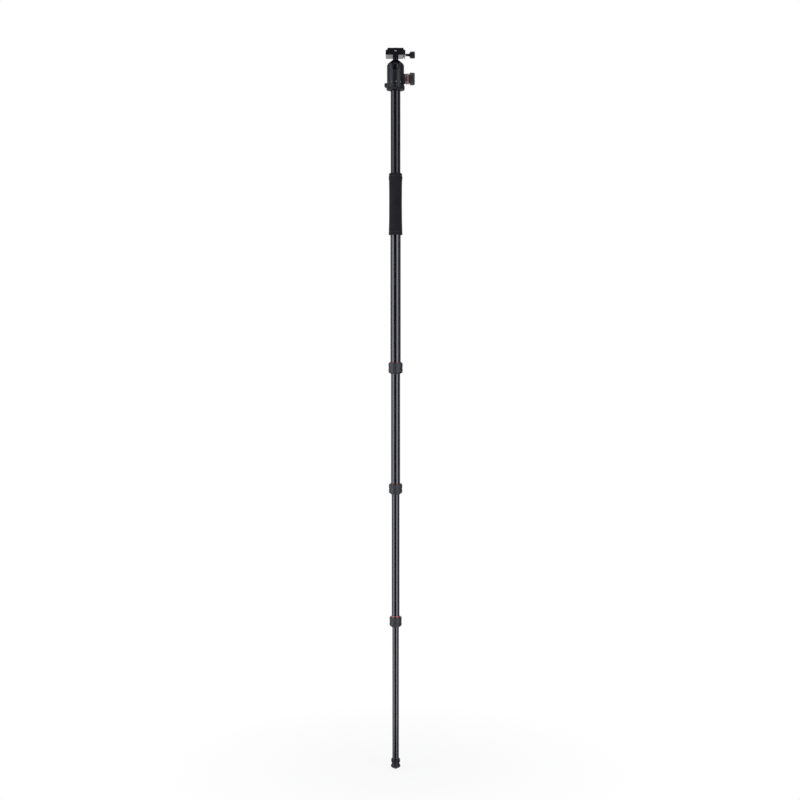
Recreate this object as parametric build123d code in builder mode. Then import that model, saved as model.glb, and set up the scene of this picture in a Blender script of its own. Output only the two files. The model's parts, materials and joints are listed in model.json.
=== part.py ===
from build123d import *
from math import cos, radians, sin, tan
import os

os.makedirs("parts", exist_ok=True)

# A camera monopod: one leg of four tubes with twist locks, a centre column screwed on top of it,
# a soft grip over the joint between them, and a ball head with a quick release clamp.
# Millimetres. +Z is up the pole, -Y faces the front, where the ball housing has its notch, and +X
# is the side of the two clamping knobs. The origin is on the pole's axis, halfway up the soft grip.

# Clearances shared by all the pieces
press = 0.02  # a piece glued or pressed onto another one
running = 0.06  # a piece that turns or slides in another one
play = 0.3  # pieces that pass each other without guiding each other
seating = 0.1  # pieces that lie on each other and move
turned_edge = 0.8  # bevel on small turned pieces
knob_edge = 1.2  # bevel on the outer rim of a knob
plug_edge = 1.0  # lead-in on a plug that is pushed into a tube
screw_edge = 0.5

# Leg tubes: each one slides in the one above it
leg_diameter = 25.0
tube_wall = 1.1
tube_gap = 0.4  # all round between one tube and the next, filled by the guide shims
bare_leg_length = 302.9  # between the soft grip and the first lock
stage_2_travel = 260.0
stage_3_travel = 292.5
stage_4_travel = 319.9
collapsed_gap = 2.5  # left between two locks when the leg is pushed together
tube_overlap = 60.0  # tube that stays inside the tube above when the leg is drawn out
shim_length = 30.0
shim_span = 150.0  # degrees of the tube that one shim covers
pip_radius = 1.6  # round boss on a shim that snaps through the tube
pip_height = 15.0  # below the top of the tube
rib_width = 2.4  # anti-twist rib on each shim
rib_depth = 0.35

# Twist locks, from the top one down
collar_diameters = [34.2, 32.2, 29.3]
collar_heights = [24.8, 22.6, 22.6]
wiper_widths = [1.1, 1.6, 2.2]  # the wiper's lip beyond the tube that runs in it
wiper_lip_height = 2.2
wiper_flange = 0.8
wiper_flange_height = 1.5
collar_lip = 1.2  # collar wall under the wiper's flange
grip_rubber = 1.2
grip_groove_depth = 0.55
grip_groove_width = 3.2
grip_taper_height = 3.0
grip_taper = 1.1
trim_ring_width = 2.2
trim_ring_height = 1.9
ferrule_wall = 1.75
ferrule_depth = 9.0  # tube held in the threaded ferrule
ferrule_shelf = 1.6
bush_height = 8.0
bush_top_wall = 2.3
bush_bottom_wall = 1.2
bush_slit = 1.4
lock_pitch = 2.0  # the collar's thread, so half a turn backs it off by 1 mm

# Foot
foot_flange_diameter = 21.7
foot_flange_height = 8.3
foot_spigot_length = 24.0
foot_rubber_height = 17.2
foot_bulge_diameter = 23.3
foot_waist_diameter = 18.8
foot_bulge_level = 8.6  # above the ground, where the foot is widest
foot_waist_level = 13.0  # above the ground, where the waist starts
foot_sole_radius = 9.2
foot_sole_level = 5.0  # above the ground, at the edge of the sole
foot_round_inset = 0.7  # middle of the sole's rounded edge, in from the bulge
foot_round_level = 6.4
foot_nose_root = 3.9
foot_nose_height = 3.8
foot_nose_tip = 1.8
foot_flange_round = 1.2
foot_stud_radius = 4.0
foot_stud_length = 9.0

# Soft grip
grip_length = 147.1
grip_wall = 2.4
grip_hem_wall = 3.6
grip_ridge_wall = 4.1
grip_hem_height = 6.0
grip_ridge_height = 11.2  # below the grip's top edge
grip_ridge_rise = 2.0
grip_under_hem_wall = 3.0
grip_shoulder_wall = 2.6
grip_end_round = 1.2
grip_stretch = 0.1  # round the tubes

# Centre column and its two ends
column_diameter = 23.4
column_wall = 1.2
column_length = 196.0  # bare column above the grip
leg_top_below_origin = 5.0
cap_flange_height = 8.0
cap_plug_length = 24.0
fitting_flange_height = 5.0
fitting_plug_length = 18.0
tripod_thread_radius = 4.76  # 3/8 inch
joint_stud_length = 12.0
thread_runout = 2.0  # beyond the end of the stud
platform_diameter = 43.2
platform_thickness = 4.0
platform_edge = 0.7
platform_plug_length = 22.0
head_stud_above = 9.5
head_stud_below = 10.0
stud_slot_width = 1.4
stud_slot_depth = 1.6
grub_radius = 2.0
grub_pitch_radius = 17.0
grub_length = 3.4
grub_socket = 1.0

# Pan bearing
pan_diameter = 43.8
pan_height = 6.2
pan_edge = 0.8
spigot_radius = 15.0
pan_washer_thickness = 0.5
pan_washer_width = 4.4
floor_thickness = 6.2
pan_groove_depth = 1.5
pan_groove_slope = 1.07  # its half height for each millimetre of depth
retainer_radius = 17.0
retainer_thickness = 2.4
retainer_screw_radius = 1.5
retainer_screw_head = 2.8
retainer_screw_length = 7.0
retainer_pitch_radius = 10.5
retainer_hex = 1.15  # radius and depth of each screw's socket

# Ball housing
housing_diameter = 40.9
housing_bore = 36.8
ball_diameter = 36.0
ball_above_base = 43.8  # centre of the ball above the pan base
housing_above_ball = 11.0
shoulder_height = 7.4
shoulder_step = 3.1
shoulder_width = 2.0
shoulder_round = 1.2
mouth_radius = 15.0
notch_width = 17.8
seat_ring_height = 5.6
seat_ring_top = 6.0  # above the ball's centre
cup_height = 22.2
cup_rim = 10.6  # below the ball's centre
seat_clearance = 0.05

# Main knob, which tightens the ball through a wedge under the cup
main_axis_below_ball = 27.4
boss_radius = 12.4
boss_reach = 24.4
boss_rim = 1.2  # straight part outside the housing
main_screw_radius = 4.0
main_pitch = 1.25
main_turn = 0.5  # turns from tight to loose
wedge_tip = 5.0
wedge_tip_radius = 1.0
wedge_angle = 30.0  # of its cone to its axis
wedge_length = 15.0
trim_radius = 12.7
trim_length = 7.4
trim_edge = 0.7
knob_start = 33.4
knob_end = 45.7
main_knob_radius = 14.75
main_knob_hub = 10.6
main_knob_face = 3.6  # face over the end of the screw
main_knob_dish = 0.9  # shallow dish in that face
main_knob_dish_radius = 9.4
main_knob_rubber = 2.4
main_knob_edge = 1.4
main_knob_ribs = 24
main_rib_depth = 0.5

# Pan knob, at the rear left
pan_knob_angle = 150.0
pan_knob_radius = 6.2
pan_knob_neck = 3.0
pan_knob_start = 22.4
pan_knob_end = 28.0
pan_screw_radius = 2.0
pan_screw_level = 2.7  # above the bottom of the housing
pan_pitch = 0.7
pan_turn = 1.0
pad_length = 3.4
pad_cone = 2.2
pad_point = 0.3
pad_bite = 0.5  # from the bottom of the groove, when tight

# Stem and clamp
stem_diameter = 13.8
stem_length = 24.5  # from the ball's centre
clamp_width = 46.8
clamp_length = 50.0
clamp_floor = 6.8
clamp_edge = 1.0
jaw_split_x = 18.9
jaw_gap = 0.4
jaw_groove_depth = 3.0
jaw_groove_width = 1.0
jaw_outer_height = 10.5
jaw_slope = 0.6  # rise of the jaw's top towards the plate
jaw_clearance = 0.15
clamp_screw_height = 4.4
clamp_screw_radius = 2.0
clamp_screw_inner = 8.0
clamp_pitch = 0.7
clamp_turns = 4.5  # opens the jaw by more than the depth of the plate's grooves
guide_pin_radius = 1.5
guide_pin_spacing = 32.0
guide_pin_length = 19.0
guide_pin_height = 3.6
guide_pin_socket = 2.5  # depth of the hole in the jaw
clamp_bolt_radius = 3.0
clamp_bolt_head = 5.0
clamp_bolt_head_height = 4.0
clamp_bolt_sunk = 0.5
clamp_bolt_hex = 2.8
clamp_bolt_length = 13.0
plate_travel = 5.5  # each way, until a stop screw meets the end of the clamp's pocket
stop_pocket_half_width = 4.0
stop_pocket_depth = 1.5
clamp_knob_neck = 3.1
clamp_knob_start = 24.1
clamp_knob_cone = 32.3
clamp_knob_full = 35.2
clamp_knob_end = 46.1
clamp_knob_radius = 8.15
clamp_knob_face = 5.0  # face over the end of the screw
clamp_knob_dish = 0.7  # shallow dish in that face
clamp_knob_dish_radius = 4.6
clamp_knob_ribs = 16
clamp_rib_depth = 0.4

# Quick release plate
plate_width = 38.0
plate_length = 50.0
plate_height = 9.3
plate_groove = 2.5  # depth of the 45 degree groove in each side
plate_edge = 0.6
pad_thickness = 0.8
pad_width = 10.0
pad_spacing = 24.0
pad_inset = 3.0
pad_corner = 2.0
camera_screw_radius = 3.175  # 1/4 inch
camera_screw_neck = 2.6
camera_screw_reach = 4.8  # above the rubber pads
camera_head_radius = 9.0
camera_head_height = 3.8
camera_slot_width = 2.0
camera_slot_depth = 1.6
stop_screw_spacing = 30.0
stop_screw_below = 1.2
plate_screw_radius = 1.7
plate_screw_length = 6.0
end_screw_bore = 3.6
end_screw_recess = 0.9
end_screw_height = 2.5


# Shared shapes
def save(piece, label):
    piece.part.label = label
    export_step(piece.part, f"parts/{label}.step")


def radial_plane(height, angle=0.0):
    # Local x is +Z and local y points away from the pole's axis at this angle from +X
    across = (-sin(radians(angle)), cos(radians(angle)), 0)
    return Plane(origin=(0, 0, height), x_dir=(0, 0, 1), z_dir=across)


def turned(points, plane=Plane.XZ, mode=Mode.ADD):
    # A lathe profile: each point is its radius and its place along the plane's local y
    with BuildSketch(plane, mode=Mode.PRIVATE) as section:
        with BuildLine():
            Polyline(*points, close=True)
        make_face()
    revolve(section.sketch, axis=Axis(plane.origin, plane.y_dir), mode=mode)


def ring(inner, outer, low, high, plane=Plane.XZ, mode=Mode.ADD):
    turned([(inner, low), (outer, low), (outer, high), (inner, high)], plane, mode)


def disc(radius, low, high, plane=Plane.XZ, mode=Mode.ADD):
    ring(0, radius, low, high, plane, mode)


# Levels down the leg, from the soft grip to the ground
leg_radii = [leg_diameter / 2 - n * (tube_wall + tube_gap) for n in range(4)]
travels = [stage_2_travel, stage_3_travel, stage_4_travel]
grip_bottom = -grip_length / 2
grip_top = grip_length / 2
leg_top = -leg_top_below_origin

collar_tops = []
tube_ends = []
tube_tops = [leg_top]
ring_top = grip_bottom - bare_leg_length
for n in range(3):
    collar_top = ring_top - trim_ring_height - play
    collar_tops.append(collar_top)
    tube_ends.append(collar_top - ferrule_depth)
    tube_tops.append(collar_top + tube_overlap)
    lip_bottom = collar_top - collar_heights[n] - wiper_lip_height
    ring_top = lip_bottom - travels[n] - collapsed_gap
foot_top = ring_top
tube_ends.append(foot_top)


# Leg tubes: anodised aluminium, with two shallow grooves inside for the ribs of the shims below
def leg_tube(n):
    radius = leg_radii[n]
    bore = radius - tube_wall
    with BuildPart() as tube:
        ring(bore, radius, tube_ends[n], tube_tops[n])
        if n < 3:
            with BuildSketch(Plane.XY.offset(tube_ends[n])):
                for side in (-1, 1):
                    with Locations((0, side * bore)):
                        Rectangle(rib_width + 2 * running, 2 * (rib_depth + running))
            extrude(amount=tube_tops[n] - tube_ends[n], mode=Mode.SUBTRACT)
        if n > 0:
            with Locations(Location((0, 0, tube_tops[n] - pip_height), (0, 90, 0))):
                Cylinder(pip_radius + running, 2 * radius + 2, mode=Mode.SUBTRACT)
    return tube


# Guide shims: two plastic shells round the top of a sliding tube, snapped in by a round boss
def tube_shims(n):
    inner = leg_radii[n] + press
    outer = leg_radii[n - 1] - tube_wall - running
    top = tube_tops[n] - play
    low = top - shim_length
    half_gap = (180 - shim_span) / 2
    with BuildPart() as shims:
        ring(inner, outer, low, top)
        with BuildSketch(Plane.XY.offset(low)):
            for side in (-1, 1):
                with Locations((0, side * outer)):
                    Rectangle(rib_width, 2 * rib_depth)
            Circle(inner + press, mode=Mode.SUBTRACT)
        extrude(amount=shim_length)
        with BuildSketch(Plane.XY.offset(low)):
            with PolarLocations(0, 2, start_angle=45):
                Rectangle(2 * outer * sin(radians(half_gap)), 3 * outer)
        extrude(amount=shim_length, mode=Mode.SUBTRACT)
        with Locations(Location((0, 0, tube_tops[n] - pip_height), (0, 90, 0))):
            Cylinder(pip_radius, 2 * inner + tube_gap / 2)
        disc(leg_radii[n] - tube_wall + press, low, top, mode=Mode.SUBTRACT)
    return shims


for n in range(4):
    save(leg_tube(n), f"leg_tube_{n + 1}")
for n in range(1, 4):
    save(tube_shims(n), f"leg_tube_{n + 1}_shims")


# Twist locks: a threaded ferrule on the upper tube, a split bush round the lower one, and a collar
# that is screwed up over both, with a rubber grip outside and a wiper at its mouth
def lock_ferrule(n):
    bore = leg_radii[n] + press
    thread = leg_radii[n] + ferrule_wall
    end = tube_ends[n]
    profile = [
        (bore, collar_tops[n] + play),
        (thread, collar_tops[n] + play),
        (thread, end - ferrule_shelf),
        (leg_radii[n + 1] + running, end - ferrule_shelf),
        (leg_radii[n + 1] + running, end),
        (bore, end),
    ]
    with BuildPart() as ferrule:
        turned(profile)
    return ferrule


def lock_trim_ring(n):
    outer = leg_radii[n] + trim_ring_width
    low = collar_tops[n] + play
    with BuildPart() as trim:
        ring(leg_radii[n] + press, outer, low, low + trim_ring_height)
        top_edges = trim.edges().group_by(Axis.Z)[-1].filter_by(GeomType.CIRCLE)
        chamfer(top_edges.sort_by(SortBy.RADIUS)[-1], trim_ring_height / 3)
    return trim


def lock_bush(n):
    bore = leg_radii[n + 1] + running
    top = tube_ends[n] - ferrule_shelf
    low = top - bush_height
    profile = [(bore, top), (bore + bush_top_wall, top), (bore + bush_bottom_wall, low), (bore, low)]
    with BuildPart() as bush:
        turned(profile)
        with BuildSketch(Plane.XY.offset(low)):
            Rectangle(4 * bore, bush_slit)
        extrude(amount=bush_height, mode=Mode.SUBTRACT)
    return bush


def lock_collar(n):
    top = collar_tops[n]
    low = top - collar_heights[n]
    outer = collar_diameters[n] / 2 - grip_rubber
    tube = leg_radii[n + 1]
    thread = leg_radii[n] + ferrule_wall + running
    cone_top = tube_ends[n] - ferrule_shelf
    cone_low = cone_top - bush_height
    lip = tube + wiper_widths[n] + press
    flange = lip + wiper_flange
    flange_low = low + collar_lip
    flange_top = flange_low + wiper_flange_height + 2 * press
    profile = [
        (thread, top),
        (outer, top),
        (outer, low + grip_taper_height),
        (outer - grip_taper, low),
        (lip, low),
        (lip, flange_low),
        (flange, flange_low),
        (flange, flange_top),
        (tube + play, flange_top),
        (tube + play, cone_low - running),
        (tube + 2 * running + bush_bottom_wall, cone_low - running),
        (tube + 2 * running + bush_top_wall, cone_top),
        (thread, cone_top),
    ]
    with BuildPart() as collar:
        turned(profile)
    return collar


def lock_grip(n):
    top = collar_tops[n]
    low = top - collar_heights[n]
    outer = collar_diameters[n] / 2
    inner = outer - grip_rubber + press
    middle = (top + low) / 2
    profile = [
        (inner, top),
        (outer - grip_rubber / 2, top),
        (outer, top - grip_rubber),
        (outer, middle + grip_groove_width / 2),
        (outer - grip_groove_depth, middle + grip_groove_width / 4),
        (outer - grip_groove_depth, middle - grip_groove_width / 4),
        (outer, middle - grip_groove_width / 2),
        (outer, low + grip_taper_height),
        (outer - grip_taper, low + grip_rubber / 2),
        (inner - grip_taper, low + grip_rubber / 2),
        (inner, low + grip_taper_height),
    ]
    with BuildPart() as grip:
        turned(profile)
        disc(inner, low, top, mode=Mode.SUBTRACT)
    return grip


def lock_wiper(n):
    bore = leg_radii[n + 1] + running
    lip = leg_radii[n + 1] + wiper_widths[n]
    low = collar_tops[n] - collar_heights[n]
    flange_low = low + collar_lip + press
    profile = [
        (bore, low - wiper_lip_height),
        (lip, low - wiper_lip_height),
        (lip, flange_low),
        (lip + wiper_flange, flange_low),
        (lip + wiper_flange, flange_low + wiper_flange_height),
        (bore, flange_low + wiper_flange_height),
    ]
    with BuildPart() as wiper:
        turned(profile)
    return wiper


for n in range(3):
    save(lock_ferrule(n), f"lock_{n + 1}_ferrule")
    save(lock_trim_ring(n), f"lock_{n + 1}_trim_ring")
    save(lock_bush(n), f"lock_{n + 1}_bush")
    save(lock_collar(n), f"lock_{n + 1}_collar")
    save(lock_grip(n), f"lock_{n + 1}_grip")
    save(lock_wiper(n), f"lock_{n + 1}_wiper")
    print(f"lock {n + 1}: collar top {collar_tops[n]:.1f}, half turn backs off {lock_pitch / 2} mm")

# Foot plug, pressed into the last tube, with a stud that holds the rubber foot
foot_bore = leg_radii[3] - tube_wall - press
foot_joint = foot_top - foot_flange_height
foot_tip = foot_joint - foot_rubber_height
with BuildPart() as foot_plug:
    disc(foot_bore, foot_top, foot_top + foot_spigot_length)
    disc(foot_flange_diameter / 2, foot_joint, foot_top)
    chamfer(foot_plug.edges().group_by(Axis.Z)[-1], plug_edge)
    fillet(foot_plug.edges().filter_by(GeomType.CIRCLE).sort_by(SortBy.RADIUS)[-2:], foot_flange_round)
    disc(foot_stud_radius, foot_joint - foot_stud_length, foot_joint)
save(foot_plug, "foot_plug")

# Rubber foot: a waist under the plug, a bulge, and a shallow sole with a blunt nose in the middle
bulge = foot_bulge_diameter / 2
waist = foot_waist_diameter / 2
with BuildPart() as rubber_foot:
    with BuildSketch(Plane.XZ):
        with BuildLine():
            Line((0, foot_tip), (foot_nose_tip, foot_tip))
            Line((foot_nose_tip, foot_tip), (foot_nose_root, foot_tip + foot_nose_height))
            Line(
                (foot_nose_root, foot_tip + foot_nose_height),
                (foot_sole_radius, foot_tip + foot_sole_level),
            )
            ThreePointArc(
                (foot_sole_radius, foot_tip + foot_sole_level),
                (bulge - foot_round_inset, foot_tip + foot_round_level),
                (bulge, foot_tip + foot_bulge_level),
            )
            Line((bulge, foot_tip + foot_bulge_level), (waist, foot_tip + foot_waist_level))
            Line((waist, foot_tip + foot_waist_level), (waist, foot_joint))
            Line((waist, foot_joint), (0, foot_joint))
            Line((0, foot_joint), (0, foot_tip))
        make_face()
    revolve(axis=Axis.Z)
    disc(foot_stud_radius + press, foot_joint - foot_stud_length - play, foot_joint, mode=Mode.SUBTRACT)
save(rubber_foot, "rubber_foot")

# Leg cap: a plug in the top tube with a flange and the stud that the column screws onto
leg_bore = leg_diameter / 2 - tube_wall - press
joint_level = leg_top + cap_flange_height
with BuildPart() as leg_cap:
    disc(leg_bore, leg_top - cap_plug_length, leg_top)
    disc(leg_diameter / 2, leg_top, joint_level)
    disc(tripod_thread_radius, joint_level, joint_level + joint_stud_length)
    chamfer(leg_cap.edges().group_by(Axis.Z)[-1], turned_edge)
    chamfer(leg_cap.edges().group_by(Axis.Z)[0], plug_edge)
    with BuildSketch(Plane.XY.offset(leg_top - cap_plug_length)):
        for side in (-1, 1):
            with Locations((0, side * leg_bore)):
                Rectangle(2 * rib_width, 2 * rib_depth)
    extrude(amount=cap_plug_length, mode=Mode.SUBTRACT)
save(leg_cap, "leg_cap")

# Column end fitting: takes the leg's stud
column_bore = column_diameter / 2 - column_wall - press
column_low = joint_level + fitting_flange_height
with BuildPart() as column_fitting:
    disc(leg_diameter / 2, joint_level, column_low)
    disc(column_bore, column_low, column_low + fitting_plug_length)
    chamfer(column_fitting.edges().group_by(Axis.Z)[-1], plug_edge)
    socket_top = joint_level + joint_stud_length + thread_runout
    disc(tripod_thread_radius + press, joint_level, socket_top, mode=Mode.SUBTRACT)
save(column_fitting, "column_fitting")

# Column tube
column_top = grip_top + column_length
with BuildPart() as column_tube:
    ring(column_diameter / 2 - column_wall, column_diameter / 2, column_low, column_top)
save(column_tube, "column_tube")

# Platform on top of the column, with a stud for the head and three grub screws from below
pan_bottom = column_top + platform_thickness
with BuildPart() as platform:
    disc(column_bore, column_top - platform_plug_length, column_top)
    disc(platform_diameter / 2, column_top, pan_bottom)
    chamfer(platform.edges().filter_by(GeomType.CIRCLE).sort_by(SortBy.RADIUS)[-2:], platform_edge)
    disc(tripod_thread_radius + press, column_top - head_stud_below, pan_bottom, mode=Mode.SUBTRACT)
    with BuildSketch(Plane.XY.offset(column_top)):
        with PolarLocations(grub_pitch_radius, 3, start_angle=90):
            Circle(grub_radius + press)
    extrude(amount=platform_thickness, mode=Mode.SUBTRACT)
save(platform, "platform")

with BuildPart() as head_stud:
    disc(tripod_thread_radius, column_top - head_stud_below, pan_bottom + head_stud_above)
    chamfer(head_stud.edges().filter_by(GeomType.CIRCLE), turned_edge)
    with BuildSketch(Plane.XY.offset(pan_bottom + head_stud_above)):
        Rectangle(4 * tripod_thread_radius, stud_slot_width)
    extrude(amount=-stud_slot_depth, mode=Mode.SUBTRACT)
save(head_stud, "head_stud")

with BuildPart() as platform_grub_screws:
    with BuildSketch(Plane.XY.offset(pan_bottom)):
        with PolarLocations(grub_pitch_radius, 3, start_angle=90):
            Circle(grub_radius)
    extrude(amount=-grub_length)
    with BuildSketch(Plane.XY.offset(pan_bottom - grub_length)):
        with PolarLocations(grub_pitch_radius, 3, start_angle=90):
            RegularPolygon(grub_socket, 6)
    extrude(amount=grub_length / 2, mode=Mode.SUBTRACT)
save(platform_grub_screws, "platform_grub_screws")

# Soft grip: a foam sleeve over the joint, with a hem at each end and a ridge under the top hem
sleeve_inner = leg_diameter / 2 + grip_stretch
column_inner = column_diameter / 2 + grip_stretch
ridge_level = grip_top - grip_ridge_height
sleeve_profile = [
    (sleeve_inner, grip_bottom),
    (sleeve_inner + grip_wall, grip_bottom + grip_end_round),
    (sleeve_inner + grip_hem_wall, grip_bottom + grip_hem_height),
    (sleeve_inner + grip_under_hem_wall, grip_bottom + 2 * grip_hem_height),
    (sleeve_inner + grip_shoulder_wall, grip_bottom + 5 * grip_hem_height),
    (sleeve_inner + grip_wall, 0),
    (sleeve_inner + grip_wall, ridge_level - 4 * grip_hem_height),
    (sleeve_inner + grip_under_hem_wall, ridge_level - grip_ridge_rise),
    (sleeve_inner + grip_ridge_wall, ridge_level),
    (sleeve_inner + grip_under_hem_wall, ridge_level + grip_ridge_rise),
    (sleeve_inner + grip_under_hem_wall, grip_top - grip_hem_height / 2),
    (column_inner + grip_wall, grip_top - grip_end_round),
    (column_inner, grip_top),
    (column_inner, column_low + 3 * play),
    (sleeve_inner, column_low + play),
]
with BuildPart() as grip_sleeve:
    turned(sleeve_profile)
save(grip_sleeve, "grip_sleeve")

# Pan base: the disc that stays still, its spigot with the groove that the pan screw bites on
pan_top = pan_bottom + pan_height
housing_bottom = pan_top + pan_washer_thickness + running
floor_top = housing_bottom + floor_thickness
spigot_top = floor_top + 2 * seating
pan_axis = housing_bottom + pan_screw_level
with BuildPart() as pan_base:
    disc(pan_diameter / 2, pan_bottom, pan_top)
    chamfer(pan_base.edges().filter_by(GeomType.CIRCLE), pan_edge)
    disc(spigot_radius, pan_top, spigot_top)
    turned(
        [
            (spigot_radius, pan_axis - pan_groove_depth * pan_groove_slope),
            (spigot_radius, pan_axis + pan_groove_depth * pan_groove_slope),
            (spigot_radius - pan_groove_depth, pan_axis),
        ],
        mode=Mode.SUBTRACT,
    )
    disc(tripod_thread_radius + press, pan_bottom, pan_bottom + head_stud_above + play, mode=Mode.SUBTRACT)
    with BuildSketch(Plane.XY.offset(spigot_top)):
        with PolarLocations(retainer_pitch_radius, 3, start_angle=30):
            Circle(retainer_screw_radius + press)
    extrude(amount=-retainer_screw_length, mode=Mode.SUBTRACT)
save(pan_base, "pan_base")

with BuildPart() as pan_washer:
    washer_inner = spigot_radius + 2 * running
    ring(washer_inner, washer_inner + pan_washer_width, pan_top, pan_top + pan_washer_thickness)
save(pan_washer, "pan_washer")

# Retainer: keeps the housing on the spigot, held by three countersunk screws
retainer_top = spigot_top + retainer_thickness
with BuildPart() as pan_retainer:
    disc(retainer_radius, spigot_top, retainer_top)
    with Locations((0, 0, retainer_top)):
        with PolarLocations(retainer_pitch_radius, 3, start_angle=30):
            CounterSinkHole(
                retainer_screw_radius + press,
                retainer_screw_head + press,
                counter_sink_angle=90,
            )
save(pan_retainer, "pan_retainer")

head_cone = retainer_screw_head - retainer_screw_radius
with BuildPart() as pan_retainer_screws:
    with BuildSketch(Plane.XY.offset(spigot_top - retainer_screw_length + play)):
        with PolarLocations(retainer_pitch_radius, 3, start_angle=30):
            Circle(retainer_screw_radius)
    extrude(amount=retainer_screw_length - play + retainer_thickness)
    with Locations((0, 0, retainer_top - head_cone / 2)):
        with PolarLocations(retainer_pitch_radius, 3, start_angle=30):
            Cone(retainer_screw_radius, retainer_screw_head, head_cone)
    with BuildSketch(Plane.XY.offset(retainer_top)):
        with PolarLocations(retainer_pitch_radius, 3, start_angle=30):
            RegularPolygon(retainer_hex, 6)
    extrude(amount=-retainer_hex, mode=Mode.SUBTRACT)
save(pan_retainer_screws, "pan_retainer_screws")

# Floor ring: closes the housing from below, once the ball and cup are in, and turns on the spigot
housing_bore_radius = housing_bore / 2
pan_plane = radial_plane(pan_axis, pan_knob_angle)
with BuildPart() as floor_ring:
    ring(spigot_radius + running, housing_bore_radius - press, housing_bottom, floor_top)
    disc(pan_screw_radius + running, 0, housing_bore_radius + 1, pan_plane, mode=Mode.SUBTRACT)
save(floor_ring, "floor_ring")

# Ball housing: a turned body with a sloped shoulder, a boss for the main knob and a front notch
ball_radius = ball_diameter / 2
ball_z = pan_top + ball_above_base
housing_radius = housing_diameter / 2
housing_top = ball_z + housing_above_ball
main_axis = ball_z - main_axis_below_ball
main_plane = radial_plane(main_axis)
ring_level = ball_z + seat_ring_top
with BuildPart() as ball_housing:
    turned(
        [
            (0, housing_bottom),
            (housing_radius, housing_bottom),
            (housing_radius, housing_top - shoulder_height),
            (housing_radius - shoulder_width, housing_top - shoulder_step),
            (mouth_radius, housing_top),
            (0, housing_top),
        ]
    )
    fillet(ball_housing.edges().filter_by(GeomType.CIRCLE).group_by(Axis.Z)[1:3], shoulder_round)
    turned(
        [
            (0, 0),
            (boss_radius, 0),
            (boss_radius, housing_radius + boss_rim),
            (boss_radius - turned_edge, boss_reach),
            (0, boss_reach),
        ],
        main_plane,
    )
    disc(housing_bore_radius, housing_bottom, ring_level, mode=Mode.SUBTRACT)
    with Locations((0, 0, ball_z)):
        Sphere(ball_radius + play, mode=Mode.SUBTRACT)
    disc(main_screw_radius + running, 0, boss_reach + 1, main_plane, mode=Mode.SUBTRACT)
    disc(pan_screw_radius + running, 0, housing_radius + 1, pan_plane, mode=Mode.SUBTRACT)
    with BuildSketch(Plane.XZ.offset(0)):
        with Locations((0, ball_z)):
            Circle(notch_width / 2)
        with Locations((0, ball_z + housing_above_ball)):
            Rectangle(notch_width, 2 * housing_above_ball)
    extrude(amount=housing_radius + 1, mode=Mode.SUBTRACT)
save(ball_housing, "ball_housing")

# Seat ring: the plastic liner that the ball is pressed up against
with BuildPart() as ball_seat_ring:
    ring(mouth_radius, housing_bore_radius - press, ring_level - seat_ring_height, ring_level)
    with Locations((0, 0, ball_z)):
        Sphere(ball_radius + seat_clearance, mode=Mode.SUBTRACT)
    with BuildSketch(Plane.XZ):
        with Locations((0, ball_z)):
            Circle(notch_width / 2)
        with Locations((0, ball_z + housing_above_ball)):
            Rectangle(notch_width, 2 * housing_above_ball)
    extrude(amount=housing_radius + 1, mode=Mode.SUBTRACT)
save(ball_seat_ring, "ball_seat_ring")

# Lower cup: lifted by the wedge so that it grips the ball from below
cup_top = ball_z - cup_rim
cup_low = cup_top - cup_height
wedge_slope = tan(radians(wedge_angle))
wedge_full = wedge_tip + (main_screw_radius - wedge_tip_radius) / wedge_slope
cup_drop = main_pitch * main_turn * wedge_slope
pocket_radius = main_screw_radius + cup_drop + 2 * running
pocket_full = wedge_full + (cup_drop + running) / wedge_slope
with BuildPart() as ball_cup:
    disc(housing_bore_radius - running, cup_low, cup_top)
    with Locations((0, 0, ball_z)):
        Sphere(ball_radius + seat_clearance, mode=Mode.SUBTRACT)
    turned(
        [
            (0, wedge_tip - play),
            (wedge_tip_radius + running, wedge_tip - play),
            (wedge_tip_radius + running, wedge_tip),
            (pocket_radius, pocket_full),
            (pocket_radius, housing_bore_radius + 1),
            (0, housing_bore_radius + 1),
        ],
        main_plane,
        mode=Mode.SUBTRACT,
    )
save(ball_cup, "ball_cup")

# Wedge: a hardened pin whose cone lifts the cup, pushed by the main screw
wedge_end = wedge_tip + wedge_length
with BuildPart() as main_wedge:
    turned(
        [
            (0, wedge_tip),
            (wedge_tip_radius, wedge_tip),
            (main_screw_radius, wedge_full),
            (main_screw_radius, wedge_end),
            (0, wedge_end),
        ],
        main_plane,
    )
save(main_wedge, "main_wedge")

with BuildPart() as main_screw:
    disc(main_screw_radius, wedge_end, knob_end - main_knob_face, main_plane)
    chamfer(main_screw.edges().group_by(Axis.X)[0], screw_edge)
save(main_screw, "main_screw")

# Red trim ring between the boss and the knob
trim_start = boss_reach + play
trim_end = trim_start + trim_length
with BuildPart() as main_trim_ring:
    turned(
        [
            (main_screw_radius + press, trim_start),
            (trim_radius - trim_edge, trim_start),
            (trim_radius, trim_start + 2 * trim_edge),
            (trim_radius, trim_end - 2 * trim_edge),
            (trim_radius - trim_edge, trim_end),
            (main_screw_radius + press, trim_end),
        ],
        main_plane,
    )
save(main_trim_ring, "main_trim_ring")

# Main knob: a hub on the screw, with a ribbed rubber ring round it
rubber_inner = main_knob_radius - main_knob_rubber
with BuildPart() as main_knob:
    turned(
        [
            (main_screw_radius + press, trim_end),
            (main_knob_hub, trim_end),
            (main_knob_hub, knob_start),
            (rubber_inner, knob_start),
            (rubber_inner, knob_end),
            (main_knob_dish_radius + main_knob_dish, knob_end),
            (main_knob_dish_radius, knob_end - main_knob_dish),
            (0, knob_end - main_knob_dish),
            (0, knob_end - main_knob_face),
            (main_screw_radius + press, knob_end - main_knob_face),
        ],
        main_plane,
    )
save(main_knob, "main_knob")

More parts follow.
